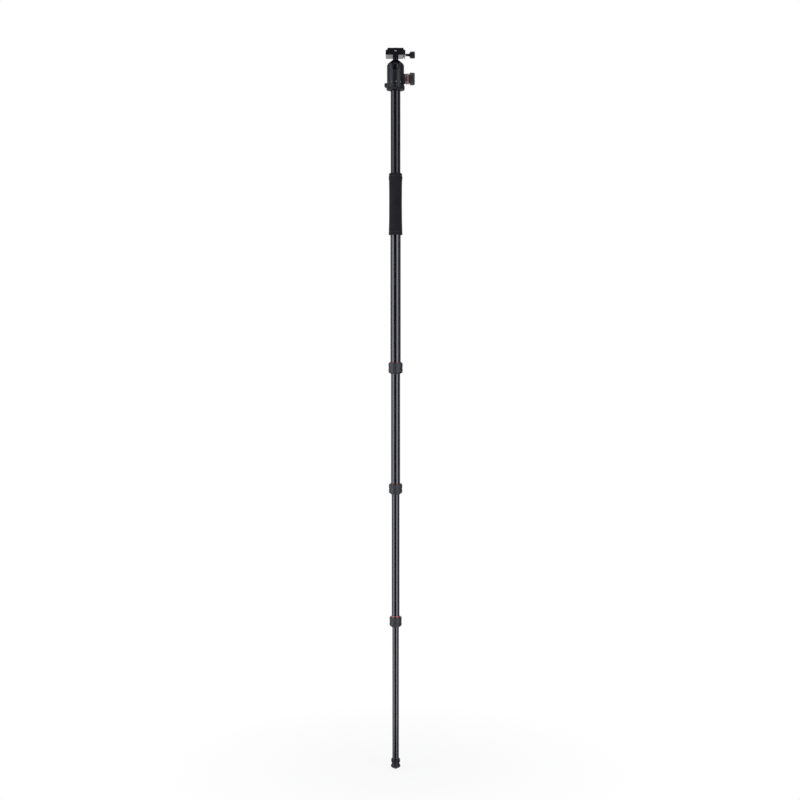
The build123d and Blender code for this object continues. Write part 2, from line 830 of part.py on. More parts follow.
with BuildPart() as main_knob_grip:
    turned(
        [
            (rubber_inner + press, knob_start),
            (main_knob_radius - main_knob_edge, knob_start),
            (main_knob_radius, knob_start + main_knob_edge),
            (main_knob_radius, knob_end - 2 * main_knob_edge),
            (main_knob_radius - main_knob_edge, knob_end),
            (rubber_inner + press, knob_end),
        ],
        main_plane,
    )
    with BuildSketch(Plane.YZ.offset(knob_start + main_knob_edge)):
        with Locations((0, main_axis)):
            with PolarLocations(main_knob_radius, main_knob_ribs):
                Circle(main_rib_depth)
    extrude(amount=knob_end - knob_start - 3 * main_knob_edge, mode=Mode.SUBTRACT)
save(main_knob_grip, "main_knob_grip")

# Pan lock: a brass pad in the spigot's groove and a small knob with its screw
pad_tip = spigot_radius - pan_groove_depth + pad_bite
pad_end = pad_tip + pad_length
with BuildPart() as pan_lock_pad:
    turned(
        [
            (0, pad_tip),
            (pad_point, pad_tip),
            (pan_screw_radius, pad_tip + pad_cone),
            (pan_screw_radius, pad_end),
            (0, pad_end),
        ],
        pan_plane,
    )
save(pan_lock_pad, "pan_lock_pad")

with BuildPart() as pan_lock_knob:
    turned(
        [
            (0, pad_end),
            (pan_screw_radius, pad_end),
            (pan_screw_radius, housing_radius + play),
            (pan_knob_neck, housing_radius + play),
            (pan_knob_neck, pan_knob_start),
            (pan_knob_radius - turned_edge, pan_knob_start),
            (pan_knob_radius, pan_knob_start + turned_edge),
            (pan_knob_radius, pan_knob_end - knob_edge),
            (pan_knob_radius - knob_edge, pan_knob_end),
            (0, pan_knob_end),
        ],
        pan_plane,
    )
save(pan_lock_knob, "pan_lock_knob")

# Ball and stem, turned in one piece, with a threaded hole for the clamp's bolt
stem_top = ball_z + stem_length
clamp_bottom = stem_top + seating
bolt_seat = clamp_bottom + clamp_floor - clamp_bolt_head_height - clamp_bolt_sunk
bolt_end = bolt_seat - clamp_bolt_length
with BuildPart() as ball_and_stem:
    with Locations((0, 0, ball_z)):
        Sphere(ball_radius)
    disc(stem_diameter / 2, ball_z, stem_top)
    disc(clamp_bolt_radius + running, bolt_end - play, stem_top, mode=Mode.SUBTRACT)
save(ball_and_stem, "ball_and_stem")

with BuildPart() as clamp_bolt:
    disc(clamp_bolt_radius, bolt_end, bolt_seat)
    disc(clamp_bolt_head, bolt_seat, bolt_seat + clamp_bolt_head_height)
    with BuildSketch(Plane.XY.offset(bolt_seat + clamp_bolt_head_height)):
        RegularPolygon(clamp_bolt_hex, 6)
    extrude(amount=-clamp_bolt_head_height / 2, mode=Mode.SUBTRACT)
save(clamp_bolt, "clamp_bolt")

# Clamp: the plate's 45 degree grooves are held between a fixed jaw and a moving one
half_plate = plate_width / 2
half_clamp = clamp_width / 2
floor_level = clamp_bottom + clamp_floor
plate_low = floor_level + 2 * seating
neck_level = plate_low + plate_groove
slab_level = neck_level + plate_groove
jaw_face = half_plate + jaw_clearance
jaw_tip = jaw_face - plate_groove
shoulder_level = clamp_bottom + jaw_outer_height
jaw_top = shoulder_level + (half_clamp - jaw_face) * jaw_slope
groove_top = clamp_bottom + jaw_groove_depth
clamp_screw_axis = clamp_bottom + clamp_screw_height
screw_plane = radial_plane(clamp_screw_axis)
pin_axis = clamp_bottom + guide_pin_height
stop_pocket_half_length = stop_screw_spacing / 2 + plate_screw_radius + plate_travel + play
with BuildPart() as clamp_body:
    with BuildSketch(Plane.XZ):
        with BuildLine():
            Polyline(
                (-half_clamp + clamp_edge, clamp_bottom),
                (jaw_split_x - jaw_groove_width, clamp_bottom),
                (jaw_split_x, groove_top),
                (jaw_split_x, floor_level),
                (-jaw_face, floor_level),
                (-jaw_face, plate_low),
                (-jaw_tip, neck_level),
                (-jaw_face, slab_level),
                (-jaw_face, jaw_top),
                (-half_clamp, shoulder_level),
                (-half_clamp, clamp_bottom + clamp_edge),
                close=True,
            )
        make_face()
    extrude(amount=clamp_length / 2, both=True)
    disc(clamp_bolt_radius + press, clamp_bottom, floor_level, mode=Mode.SUBTRACT)
    disc(clamp_bolt_head + press, bolt_seat, floor_level, mode=Mode.SUBTRACT)
    with BuildSketch(Plane.XY.offset(floor_level)):
        Rectangle(2 * stop_pocket_half_width, 2 * stop_pocket_half_length)
    extrude(amount=-stop_pocket_depth, mode=Mode.SUBTRACT)
    disc(clamp_screw_radius + running, clamp_screw_inner, half_clamp, screw_plane, mode=Mode.SUBTRACT)
    with BuildSketch(Plane.YZ.offset(jaw_split_x)):
        with Locations((0, pin_axis)):
            with GridLocations(guide_pin_spacing, 1, 2, 1):
                Circle(guide_pin_radius + running)
    extrude(amount=-guide_pin_length, mode=Mode.SUBTRACT)
save(clamp_body, "clamp_body")

jaw_inner = jaw_split_x + jaw_gap
with BuildPart() as clamp_jaw:
    with BuildSketch(Plane.XZ):
        with BuildLine():
            Polyline(
                (half_clamp - clamp_edge, clamp_bottom),
                (jaw_inner + jaw_groove_width, clamp_bottom),
                (jaw_inner, groove_top),
                (jaw_inner, plate_low),
                (jaw_face, plate_low),
                (jaw_tip, neck_level),
                (jaw_face, slab_level),
                (jaw_face, jaw_top),
                (half_clamp, shoulder_level),
                (half_clamp, clamp_bottom + clamp_edge),
                close=True,
            )
        make_face()
    extrude(amount=clamp_length / 2, both=True)
    disc(clamp_screw_radius + running, 0, half_clamp + 1, screw_plane, mode=Mode.SUBTRACT)
    with BuildSketch(Plane.YZ.offset(jaw_inner)):
        with Locations((0, pin_axis)):
            with GridLocations(guide_pin_spacing, 1, 2, 1):
                Circle(guide_pin_radius + press)
    extrude(amount=guide_pin_socket, mode=Mode.SUBTRACT)
save(clamp_jaw, "clamp_jaw")

with BuildPart() as jaw_guide_pins:
    with BuildSketch(Plane.YZ.offset(jaw_inner + guide_pin_socket - press)):
        with Locations((0, pin_axis)):
            with GridLocations(guide_pin_spacing, 1, 2, 1):
                Circle(guide_pin_radius)
    extrude(amount=-guide_pin_length)
save(jaw_guide_pins, "jaw_guide_pins")

# Clamp knob on its screw
with BuildPart() as clamp_screw:
    disc(clamp_screw_radius, clamp_screw_inner + play, clamp_knob_end - clamp_knob_face, screw_plane)
save(clamp_screw, "clamp_screw")

with BuildPart() as clamp_knob:
    turned(
        [
            (clamp_screw_radius + press, clamp_knob_start),
            (clamp_knob_neck, clamp_knob_start),
            (clamp_knob_neck, clamp_knob_cone),
            (clamp_knob_radius, clamp_knob_full),
            (clamp_knob_radius, clamp_knob_end - knob_edge),
            (clamp_knob_radius - knob_edge, clamp_knob_end),
            (clamp_knob_dish_radius + clamp_knob_dish, clamp_knob_end),
            (clamp_knob_dish_radius, clamp_knob_end - clamp_knob_dish),
            (0, clamp_knob_end - clamp_knob_dish),
            (0, clamp_knob_end - clamp_knob_face),
            (clamp_screw_radius + press, clamp_knob_end - clamp_knob_face),
        ],
        screw_plane,
    )
    with BuildSketch(Plane.YZ.offset(clamp_knob_full)):
        with Locations((0, clamp_screw_axis)):
            with PolarLocations(clamp_knob_radius, clamp_knob_ribs):
                Circle(clamp_rib_depth)
    extrude(amount=clamp_knob_end - clamp_knob_full - knob_edge, mode=Mode.SUBTRACT)
save(clamp_knob, "clamp_knob")

# Quick release plate: a slab over a double 45 degree groove, with rubber pads let into its top
plate_top = plate_low + plate_height
head_pocket = camera_head_height + play + seating
end_screw_level = plate_low + end_screw_height
with BuildPart() as release_plate:
    with BuildSketch(Plane.XZ):
        with BuildLine():
            Polyline(
                (-half_plate, plate_low),
                (half_plate, plate_low),
                (half_plate - plate_groove, neck_level),
                (half_plate, slab_level),
                (half_plate, plate_top - plate_edge),
                (half_plate - plate_edge, plate_top),
                (-half_plate + plate_edge, plate_top),
                (-half_plate, plate_top - plate_edge),
                (-half_plate, slab_level),
                (-half_plate + plate_groove, neck_level),
                close=True,
            )
        make_face()
    extrude(amount=plate_length / 2, both=True)
    disc(camera_screw_radius + running, plate_low, plate_top, mode=Mode.SUBTRACT)
    disc(camera_head_radius + play, plate_low, plate_low + head_pocket, mode=Mode.SUBTRACT)
    with BuildSketch(Plane.XY.offset(plate_low)):
        with GridLocations(1, stop_screw_spacing, 1, 2):
            Circle(plate_screw_radius + press)
    extrude(amount=plate_screw_length - stop_screw_below + play, mode=Mode.SUBTRACT)
    for side in (-1, 1):
        with BuildSketch(Plane.XZ.offset(side * plate_length / 2)):
            with Locations((0, end_screw_level)):
                Circle(end_screw_bore)
        extrude(amount=-side * end_screw_recess, mode=Mode.SUBTRACT)
        with BuildSketch(Plane.XZ.offset(side * plate_length / 2)):
            with Locations((0, end_screw_level)):
                Circle(plate_screw_radius + press)
        extrude(amount=-side * (plate_screw_length + end_screw_recess), mode=Mode.SUBTRACT)
save(release_plate, "release_plate")

with BuildPart() as plate_pads:
    with BuildSketch(Plane.XY.offset(plate_top)):
        with GridLocations(pad_spacing, 1, 2, 1):
            RectangleRounded(pad_width, plate_length - 2 * pad_inset, pad_corner)
    extrude(amount=pad_thickness)
save(plate_pads, "plate_pads")

# Four like screws: two stops under the plate, which run in the clamp's pocket, and one in each end
with BuildPart() as plate_screws:
    with BuildSketch(Plane.XY.offset(plate_low - stop_screw_below)):
        with GridLocations(1, stop_screw_spacing, 1, 2):
            Circle(plate_screw_radius)
    extrude(amount=plate_screw_length)
    for side in (-1, 1):
        with BuildSketch(Plane.XZ.offset(side * (plate_length / 2 - end_screw_recess / 3))):
            with Locations((0, end_screw_level)):
                Circle(plate_screw_radius)
        extrude(amount=-side * plate_screw_length)
save(plate_screws, "plate_screws")

# Camera screw: 1/4 inch, held in the plate, with a coin slot in its head
head_low = plate_low + play
with BuildPart() as camera_screw:
    disc(camera_head_radius, head_low, head_low + camera_head_height)
    chamfer(camera_screw.edges().group_by(Axis.Z)[0], screw_edge)
    disc(camera_screw_neck, head_low + camera_head_height, plate_top)
    disc(camera_screw_radius, plate_top, plate_top + pad_thickness + camera_screw_reach)
    chamfer(camera_screw.edges().group_by(Axis.Z)[-1], screw_edge)
    with BuildSketch(Plane.XY.offset(head_low)):
        Rectangle(3 * camera_head_radius, camera_slot_width)
    extrude(amount=camera_slot_depth, mode=Mode.SUBTRACT)
save(camera_screw, "camera_screw")

print(f"wedge and knob back off {main_pitch * main_turn:.3f}, cup drops {cup_drop:.3f}")
print(f"pan screw backs off {pan_pitch * pan_turn:.2f}, jaw opens {clamp_pitch * clamp_turns:.2f}")
print(f"foot tip {foot_tip:.2f}, ball centre {ball_z:.2f}, plate top {plate_top + pad_thickness:.2f}")
collapsed_tops = [tube_tops[n] + sum(travels[:n]) for n in range(1, 4)]
print(f"tube tops when pushed together {[round(level, 1) for level in collapsed_tops]}")
print(f"lower end of the leg's cap {leg_top - cap_plug_length:.1f}")
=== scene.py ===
import bmesh
import bpy
import json
from math import atan2, ceil, cos, exp, hypot, pi, radians, sin
from mathutils import Matrix, Vector, noise


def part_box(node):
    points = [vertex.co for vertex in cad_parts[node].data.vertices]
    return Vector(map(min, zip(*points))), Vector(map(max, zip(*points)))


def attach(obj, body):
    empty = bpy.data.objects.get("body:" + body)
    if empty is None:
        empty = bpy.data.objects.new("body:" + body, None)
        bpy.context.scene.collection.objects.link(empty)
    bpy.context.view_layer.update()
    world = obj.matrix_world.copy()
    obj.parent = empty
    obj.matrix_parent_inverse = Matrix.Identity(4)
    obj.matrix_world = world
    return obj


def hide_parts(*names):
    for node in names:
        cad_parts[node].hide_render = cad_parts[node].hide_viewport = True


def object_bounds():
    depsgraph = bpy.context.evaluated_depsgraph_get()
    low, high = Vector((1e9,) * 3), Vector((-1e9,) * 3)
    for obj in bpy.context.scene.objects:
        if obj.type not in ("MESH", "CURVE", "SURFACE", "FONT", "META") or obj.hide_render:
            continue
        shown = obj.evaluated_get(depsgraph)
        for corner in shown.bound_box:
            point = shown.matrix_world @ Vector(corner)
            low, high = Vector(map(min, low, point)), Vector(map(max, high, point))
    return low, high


# Camera monopod with a ball head. Metres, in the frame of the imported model: +Z up the pole,
# -Y to the front, +X towards the two clamping knobs.

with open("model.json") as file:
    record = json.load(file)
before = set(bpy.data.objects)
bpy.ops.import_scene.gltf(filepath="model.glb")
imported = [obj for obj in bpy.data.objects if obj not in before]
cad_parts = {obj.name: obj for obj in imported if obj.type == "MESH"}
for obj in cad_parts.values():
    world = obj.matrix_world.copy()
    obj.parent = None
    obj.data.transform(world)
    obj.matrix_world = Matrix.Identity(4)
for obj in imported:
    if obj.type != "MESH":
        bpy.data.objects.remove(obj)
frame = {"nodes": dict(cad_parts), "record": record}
cadNodes = frame["nodes"]
scene = bpy.context.scene
cadLow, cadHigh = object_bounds()
mm = 0.001
print("frame loaded:", len(cadNodes), "nodes")


# Small helpers for shader trees

def feed(tree, item, socket):
    # joins a socket to another one, or sets its value
    if isinstance(item, bpy.types.NodeSocket):
        tree.links.new(item, socket)
    elif isinstance(item, tuple) and len(item) == 3 and socket.type == "RGBA":
        socket.default_value = (*item, 1)
    else:
        socket.default_value = item


def maths(tree, operation, *terms):
    node = tree.nodes.new("ShaderNodeMath")
    node.operation = operation
    for term, socket in zip(terms, node.inputs):
        feed(tree, term, socket)
    return node.outputs[0]


def noiseOf(tree, vector, scale, detail=2.0, roughness=0.5):
    node = tree.nodes.new("ShaderNodeTexNoise")
    feed(tree, vector, node.inputs["Vector"])
    feed(tree, scale, node.inputs["Scale"])
    node.inputs["Detail"].default_value = detail
    node.inputs["Roughness"].default_value = roughness
    return node.outputs["Fac"]


def mapped(tree, vector, scale=(1, 1, 1), turn=(0, 0, 0)):
    node = tree.nodes.new("ShaderNodeMapping")
    feed(tree, vector, node.inputs["Vector"])
    node.inputs["Scale"].default_value = scale
    node.inputs["Rotation"].default_value = turn
    return node.outputs["Vector"]


def ranged(tree, value, low, high, start=0.0, end=1.0):
    node = tree.nodes.new("ShaderNodeMapRange")
    for item, socket in zip((value, low, high, start, end), node.inputs):
        feed(tree, item, socket)
    return node.outputs["Result"]


def mixColour(tree, factor, first, second):
    node = tree.nodes.new("ShaderNodeMix")
    node.data_type = "RGBA"
    feed(tree, factor, node.inputs[0])
    feed(tree, first, node.inputs[6])
    feed(tree, second, node.inputs[7])
    return node.outputs[2]


def axesOf(tree, vector):
    node = tree.nodes.new("ShaderNodeSeparateXYZ")
    feed(tree, vector, node.inputs[0])
    return node.outputs["X"], node.outputs["Y"], node.outputs["Z"]


def newGroup(name, takes, gives):
    tree = bpy.data.node_groups.new(name, "ShaderNodeTree")
    for label, kind in takes.items():
        tree.interface.new_socket(name=label, in_out="INPUT", socket_type="NodeSocket" + kind)
    for label, kind in gives.items():
        tree.interface.new_socket(name=label, in_out="OUTPUT", socket_type="NodeSocket" + kind)
    entry = tree.nodes.new("NodeGroupInput")
    result = tree.nodes.new("NodeGroupOutput")
    return tree, entry.outputs, result.inputs


def useGroup(tree, group, **values):
    node = tree.nodes.new("ShaderNodeGroup")
    node.node_tree = group
    for label, item in values.items():
        feed(tree, item, node.inputs[label])
    return node.outputs


def objectPlace(tree):
    return tree.nodes.new("ShaderNodeTexCoord").outputs["Object"]


def newLook(name, values):
    look = bpy.data.materials.new(name)
    look.use_nodes = True
    shader = look.node_tree.nodes["Principled BSDF"]
    for label, value in values.items():
        feed(look.node_tree, value, shader.inputs[label])
    return look, look.node_tree, shader


def addBump(tree, shader, relief, depth, normal=None):
    bump = tree.nodes.new("ShaderNodeBump")
    bump.inputs["Distance"].default_value = depth
    feed(tree, relief, bump.inputs["Height"])
    if normal is not None:
        feed(tree, normal, bump.inputs["Normal"])
    feed(tree, bump.outputs["Normal"], shader.inputs["Normal"])


# Camera: in front of the pole, a little below the soft grip, tipped down a little
shot = {"side": 0.0106, "distance": 3.3, "level": -0.3239, "tip": 2.5, "lens": 61.875, "sensor": 36.0}
cameraData = bpy.data.cameras.new("camera")
cameraData.lens = shot["lens"]
cameraData.sensor_width = shot["sensor"]
camera = bpy.data.objects.new("camera", cameraData)
camera.location = (shot["side"], -shot["distance"], shot["level"])
camera.rotation_euler = (radians(90 - shot["tip"]), 0, 0)
scene.collection.objects.link(camera)
scene.camera = camera
scene.view_settings.view_transform = "Standard"

# Room: white to the camera and in reflections, dim to everything else
room = {"white": 1.0, "ambient": 0.22}
world = bpy.data.worlds.new("studio")
scene.world = world
world.use_nodes = True
tree = world.node_tree
rays = tree.nodes.new("ShaderNodeLightPath").outputs
seen = maths(tree, "MAXIMUM", rays["Is Camera Ray"], rays["Is Glossy Ray"])
seen = maths(tree, "MAXIMUM", seen, rays["Is Transmission Ray"])
background = tree.nodes["Background"]
background.inputs["Color"].default_value = (1, 1, 1, 1)
feed(tree, ranged(tree, seen, 0, 1, room["ambient"], room["white"]), background.inputs["Strength"])

# Floor: pale, with the pole's soft shadow near the foot
ground = {"radius": 9.0, "segments": 64, "shadowFrom": 0.1, "shadowTo": 0.6, "share": 0.13,
          "tone": (0.93, 0.93, 0.93)}


def makeFloor():
    bm = bmesh.new()
    bmesh.ops.create_circle(bm, cap_ends=True, segments=ground["segments"], radius=ground["radius"])
    bmesh.ops.translate(bm, verts=bm.verts, vec=(0, 0, cadLow.z))
    mesh = bpy.data.meshes.new("floor")
    bm.to_mesh(mesh)
    bm.free()
    floor = bpy.data.objects.new("floor", mesh)
    scene.collection.objects.link(floor)
    look = bpy.data.materials.new("floor")
    look.use_nodes = True
    tree = look.node_tree
    tree.nodes.clear()
    rays = tree.nodes.new("ShaderNodeLightPath").outputs
    away = tree.nodes.new("ShaderNodeVectorMath")
    away.operation = "LENGTH"
    feed(tree, mapped(tree, objectPlace(tree), (1, 1, 0)), away.inputs[0])
    near = ranged(tree, away.outputs["Value"], ground["shadowFrom"], ground["shadowTo"], ground["share"], 0)
    unseen = maths(tree, "SUBTRACT", 1, rays["Is Camera Ray"])
    glow = tree.nodes.new("ShaderNodeEmission")
    glow.inputs["Color"].default_value = (1, 1, 1, 1)
    paper = tree.nodes.new("ShaderNodeBsdfDiffuse")
    feed(tree, ground["tone"], paper.inputs["Color"])
    mix = tree.nodes.new("ShaderNodeMixShader")
    feed(tree, maths(tree, "MAXIMUM", near, unseen), mix.inputs[0])
    feed(tree, glow.outputs[0], mix.inputs[1])
    feed(tree, paper.outputs[0], mix.inputs[2])
    result = tree.nodes.new("ShaderNodeOutputMaterial")
    feed(tree, mix.outputs[0], result.inputs["Surface"])
    mesh.materials.append(look)
    floor.visible_glossy = False
    floor.visible_shadow = False


makeFloor()

# Two tall soft boxes in front, whose reflections are the long bands on the tubes, and two weak ones behind
softBoxes = {
    "left": {"angle": -63.0, "distance": 2.0, "width": 1.9, "watts": 54.0},
    "right": {"angle": 41.0, "distance": 2.0, "width": 1.45, "watts": 46.0},
    "backLeft": {"angle": -153.0, "distance": 2.0, "width": 0.7, "watts": 6.0},
    "backRight": {"angle": 153.0, "distance": 2.0, "width": 0.7, "watts": 6.0},
}
boxTint = (0.87, 0.885, 1.0)
boxHeight = 3.6
boxMiddle = -0.15
for side, box in softBoxes.items():
    lamp = bpy.data.lights.new("softBox_" + side, "AREA")
    lamp.shape = "RECTANGLE"
    lamp.size = box["width"]
    lamp.size_y = boxHeight
    lamp.energy = box["watts"]
    lamp.color = boxTint
    holder = bpy.data.objects.new("softBox_" + side, lamp)
    turn = radians(box["angle"])
    holder.location = (box["distance"] * sin(turn), -box["distance"] * cos(turn), boxMiddle)
    facing = Vector((-sin(turn), cos(turn), 0))
    holder.rotation_euler = facing.to_track_quat("-Z", "Y").to_euler()
    holder.visible_camera = False
    scene.collection.objects.link(holder)

# Cloth round the pole, seen in reflections only: black in front, paler to the back, with a gap behind
cloth = {"radius": 2.6, "half": 162.0, "steps": 48, "low": -3.0, "high": 2.4, "blackTo": -0.4,
         "greyFrom": 1.0, "grey": 0.4}


def makeCloth():
    bm = bmesh.new()
    ends = [bm.verts.new((0, -cloth["radius"], z)) for z in (cloth["low"], cloth["high"])]
    edge = bm.edges.new(ends)
    bmesh.ops.rotate(bm, verts=ends, cent=(0, 0, 0), matrix=Matrix.Rotation(radians(-cloth["half"]), 3, "Z"))
    bmesh.ops.spin(bm, geom=ends + [edge], axis=(0, 0, 1), cent=(0, 0, 0),
                   angle=radians(2 * cloth["half"]), steps=cloth["steps"])
    mesh = bpy.data.meshes.new("blackCloth")
    bm.to_mesh(mesh)
    bm.free()
    hanging = bpy.data.objects.new("blackCloth", mesh)
    scene.collection.objects.link(hanging)
    look, tree, shader = newLook("blackCloth", {"Base Color": (0, 0, 0), "Specular IOR Level": 0,
                                                "Emission Color": boxTint})
    y = axesOf(tree, objectPlace(tree))[1]
    glow = ranged(tree, y, cloth["blackTo"], cloth["greyFrom"], 0, cloth["grey"])
    feed(tree, glow, shader.inputs["Emission Strength"])
    mesh.materials.append(look)
    for ray in ("camera", "diffuse", "transmission", "shadow", "volume_scatter"):
        setattr(hanging, "visible_" + ray, False)


makeCloth()
print("studio ready")


# Shared effects, each one a group of shader nodes. Noise scales are in grains a metre.
useMarks = {"rub": 700, "smudge": 45, "scratchAcross": 1500, "scratchAlong": 1300, "patch": 80,
            "speck": 2600}
edgeSamples = 6


def softEdgeGroup():
    # rounds the look of a hard edge, and says where handling has rubbed it
    tree, takes, gives = newGroup("softEdge", {"Radius": "Float", "Place": "Vector"},
                                  {"Normal": "Vector", "Worn": "Float"})
    rounded = tree.nodes.new("ShaderNodeBevel")
    rounded.samples = edgeSamples
    feed(tree, takes["Radius"], rounded.inputs["Radius"])
    shape = tree.nodes.new("ShaderNodeNewGeometry")
    dot = tree.nodes.new("ShaderNodeVectorMath")
    dot.operation = "DOT_PRODUCT"
    feed(tree, rounded.outputs["Normal"], dot.inputs[0])
    feed(tree, shape.outputs["Normal"], dot.inputs[1])
    bend = maths(tree, "SUBTRACT", 1, dot.outputs["Value"])
    broken = noiseOf(tree, takes["Place"], useMarks["rub"], 3, 0.6)
    rubbed = maths(tree, "MULTIPLY", ranged(tree, bend, 0.02, 0.2), ranged(tree, broken, 0.42, 0.62))
    feed(tree, rounded.outputs["Normal"], gives["Normal"])
    feed(tree, rubbed, gives["Worn"])
    return tree


def handlingGroup():
    # traces of use: broad smudges, hair-fine scratches and settled dust
    tree, takes, gives = newGroup("handling", {"Place": "Vector"},
                                  {"Smudge": "Float", "Scratch": "Float", "Dust": "Float"})
    place = takes["Place"]
    smudge = ranged(tree, noiseOf(tree, place, useMarks["smudge"], 3, 0.55), 0.36, 0.68)
    flat = mapped(tree, place, (1, 1, 0.09), (0.5, 0.35, 0))
    upright = mapped(tree, place, (0.12, 1, 1), (0, 0.7, 0.4))
    across = noiseOf(tree, flat, useMarks["scratchAcross"], 1, 0.4)
    along = noiseOf(tree, upright, useMarks["scratchAlong"], 1, 0.4)
    scratch = maths(tree, "MAXIMUM", ranged(tree, across, 0.76, 0.8), ranged(tree, along, 0.77, 0.81))
    patches = ranged(tree, noiseOf(tree, place, useMarks["patch"], 2), 0.45, 0.7)
    specks = ranged(tree, noiseOf(tree, place, useMarks["speck"], 0), 0.7, 0.78)
    feed(tree, smudge, gives["Smudge"])
    feed(tree, maths(tree, "MULTIPLY", scratch, patches), gives["Scratch"])
    feed(tree, maths(tree, "MULTIPLY", specks, patches), gives["Dust"])
    return tree


# Relief of each kind of surface: grain is blasting, paint skin, moulding or rubber, drawn is the streaks
# along a drawn tube, and turned is the lathe lines round the Z axis. Fine noise gives the height and broad
# noise the tone. share is the broad noise's part of the finish's scale.
reliefs = {
    "grain": {"fine": {"stretch": (1, 1, 1), "detail": 2, "roughness": 0.55},
              "broad": {"stretch": (1, 1, 1), "detail": 2, "share": 0.06}},
    "drawn": {"fine": {"stretch": (1, 1, 0.012), "detail": 3, "roughness": 0.6},
              "broad": {"stretch": (1, 1, 0.06), "detail": 2, "share": 0.1}},
    "turned": {"fine": {"stretch": (0.02, 0.02, 1), "detail": 2, "roughness": 0.6},
               "broad": {"stretch": (0.1, 0.1, 1), "detail": 1, "share": 0.2}},
}


def reliefGroup(name, fine, broad):
    tree, takes, gives = newGroup(name, {"Place": "Vector", "Scale": "Float"},
                                  {"Height": "Float", "Tone": "Float"})
    height = noiseOf(tree, mapped(tree, takes["Place"], fine["stretch"]), takes["Scale"],
                     fine["detail"], fine["roughness"])
    tone = noiseOf(tree, mapped(tree, takes["Place"], broad["stretch"]),
                   maths(tree, "MULTIPLY", takes["Scale"], broad["share"]), broad["detail"])
    feed(tree, height, gives["Height"])
    feed(tree, tone, gives["Tone"])
    return tree


# Knitted face of the soft grip. gap is where two wales meet, and centre is the crease down each one.
# The Tone it gives is painted light and shade: darker in the gaps and creases, lighter on the yarn tops.
knitFace = {"wobble": 0.9, "wobbleScale": 160, "gapFrom": 0.5, "gapTo": 0.3, "centre": 0.14,
            "centreHeight": 0.55, "fuzz": 0.35, "fuzzScale": 5200}


def knitGroup():
    # jersey face of the soft grip: wales run up it, and each row is a line of small V stitches
    tree, takes, gives = newGroup("jerseyKnit", {"Place": "Vector", "Wales": "Float", "Rows": "Float"},
                                  {"Height": "Float", "Tone": "Float"})
    x, y, z = axesOf(tree, takes["Place"])
    turn = maths(tree, "DIVIDE", maths(tree, "ARCTAN2", y, x), 2 * pi)
    wobble = maths(tree, "MULTIPLY", noiseOf(tree, takes["Place"], knitFace["wobbleScale"], 2),
                   knitFace["wobble"])
    column = maths(tree, "ADD", maths(tree, "MULTIPLY", turn, takes["Wales"]), wobble)
    wale = maths(tree, "ABSOLUTE", maths(tree, "SUBTRACT", maths(tree, "FRACT", column), 0.5))
    rise = maths(tree, "SUBTRACT", maths(tree, "MULTIPLY", z, takes["Rows"]), wale)
    row = maths(tree, "FRACT", maths(tree, "ADD", rise, wobble))
    yarn = maths(tree, "SINE", maths(tree, "MULTIPLY", row, pi))
    gap = ranged(tree, wale, knitFace["gapFrom"], knitFace["gapTo"])
    centre = ranged(tree, wale, 0.0, knitFace["centre"], knitFace["centreHeight"], 1.0)
    height = maths(tree, "MULTIPLY", maths(tree, "MULTIPLY", yarn, gap), centre)
    fuzz = noiseOf(tree, takes["Place"], knitFace["fuzzScale"], 1)
    hairs = maths(tree, "MULTIPLY", fuzz, knitFace["fuzz"])
    feed(tree, maths(tree, "ADD", height, hairs), gives["Height"])
    # Tone is the knit's height as colour: painted shade in the gaps and creases, painted light on the yarn
    feed(tree, maths(tree, "MULTIPLY", height, ranged(tree, fuzz, 0.2, 0.8, 0.6, 1.0)), gives["Tone"])
    return tree


groups = {"softEdge": softEdgeGroup(), "handling": handlingGroup(), "knit": knitGroup()}
for name, relief in reliefs.items():
    groups[name] = reliefGroup(name, **relief)

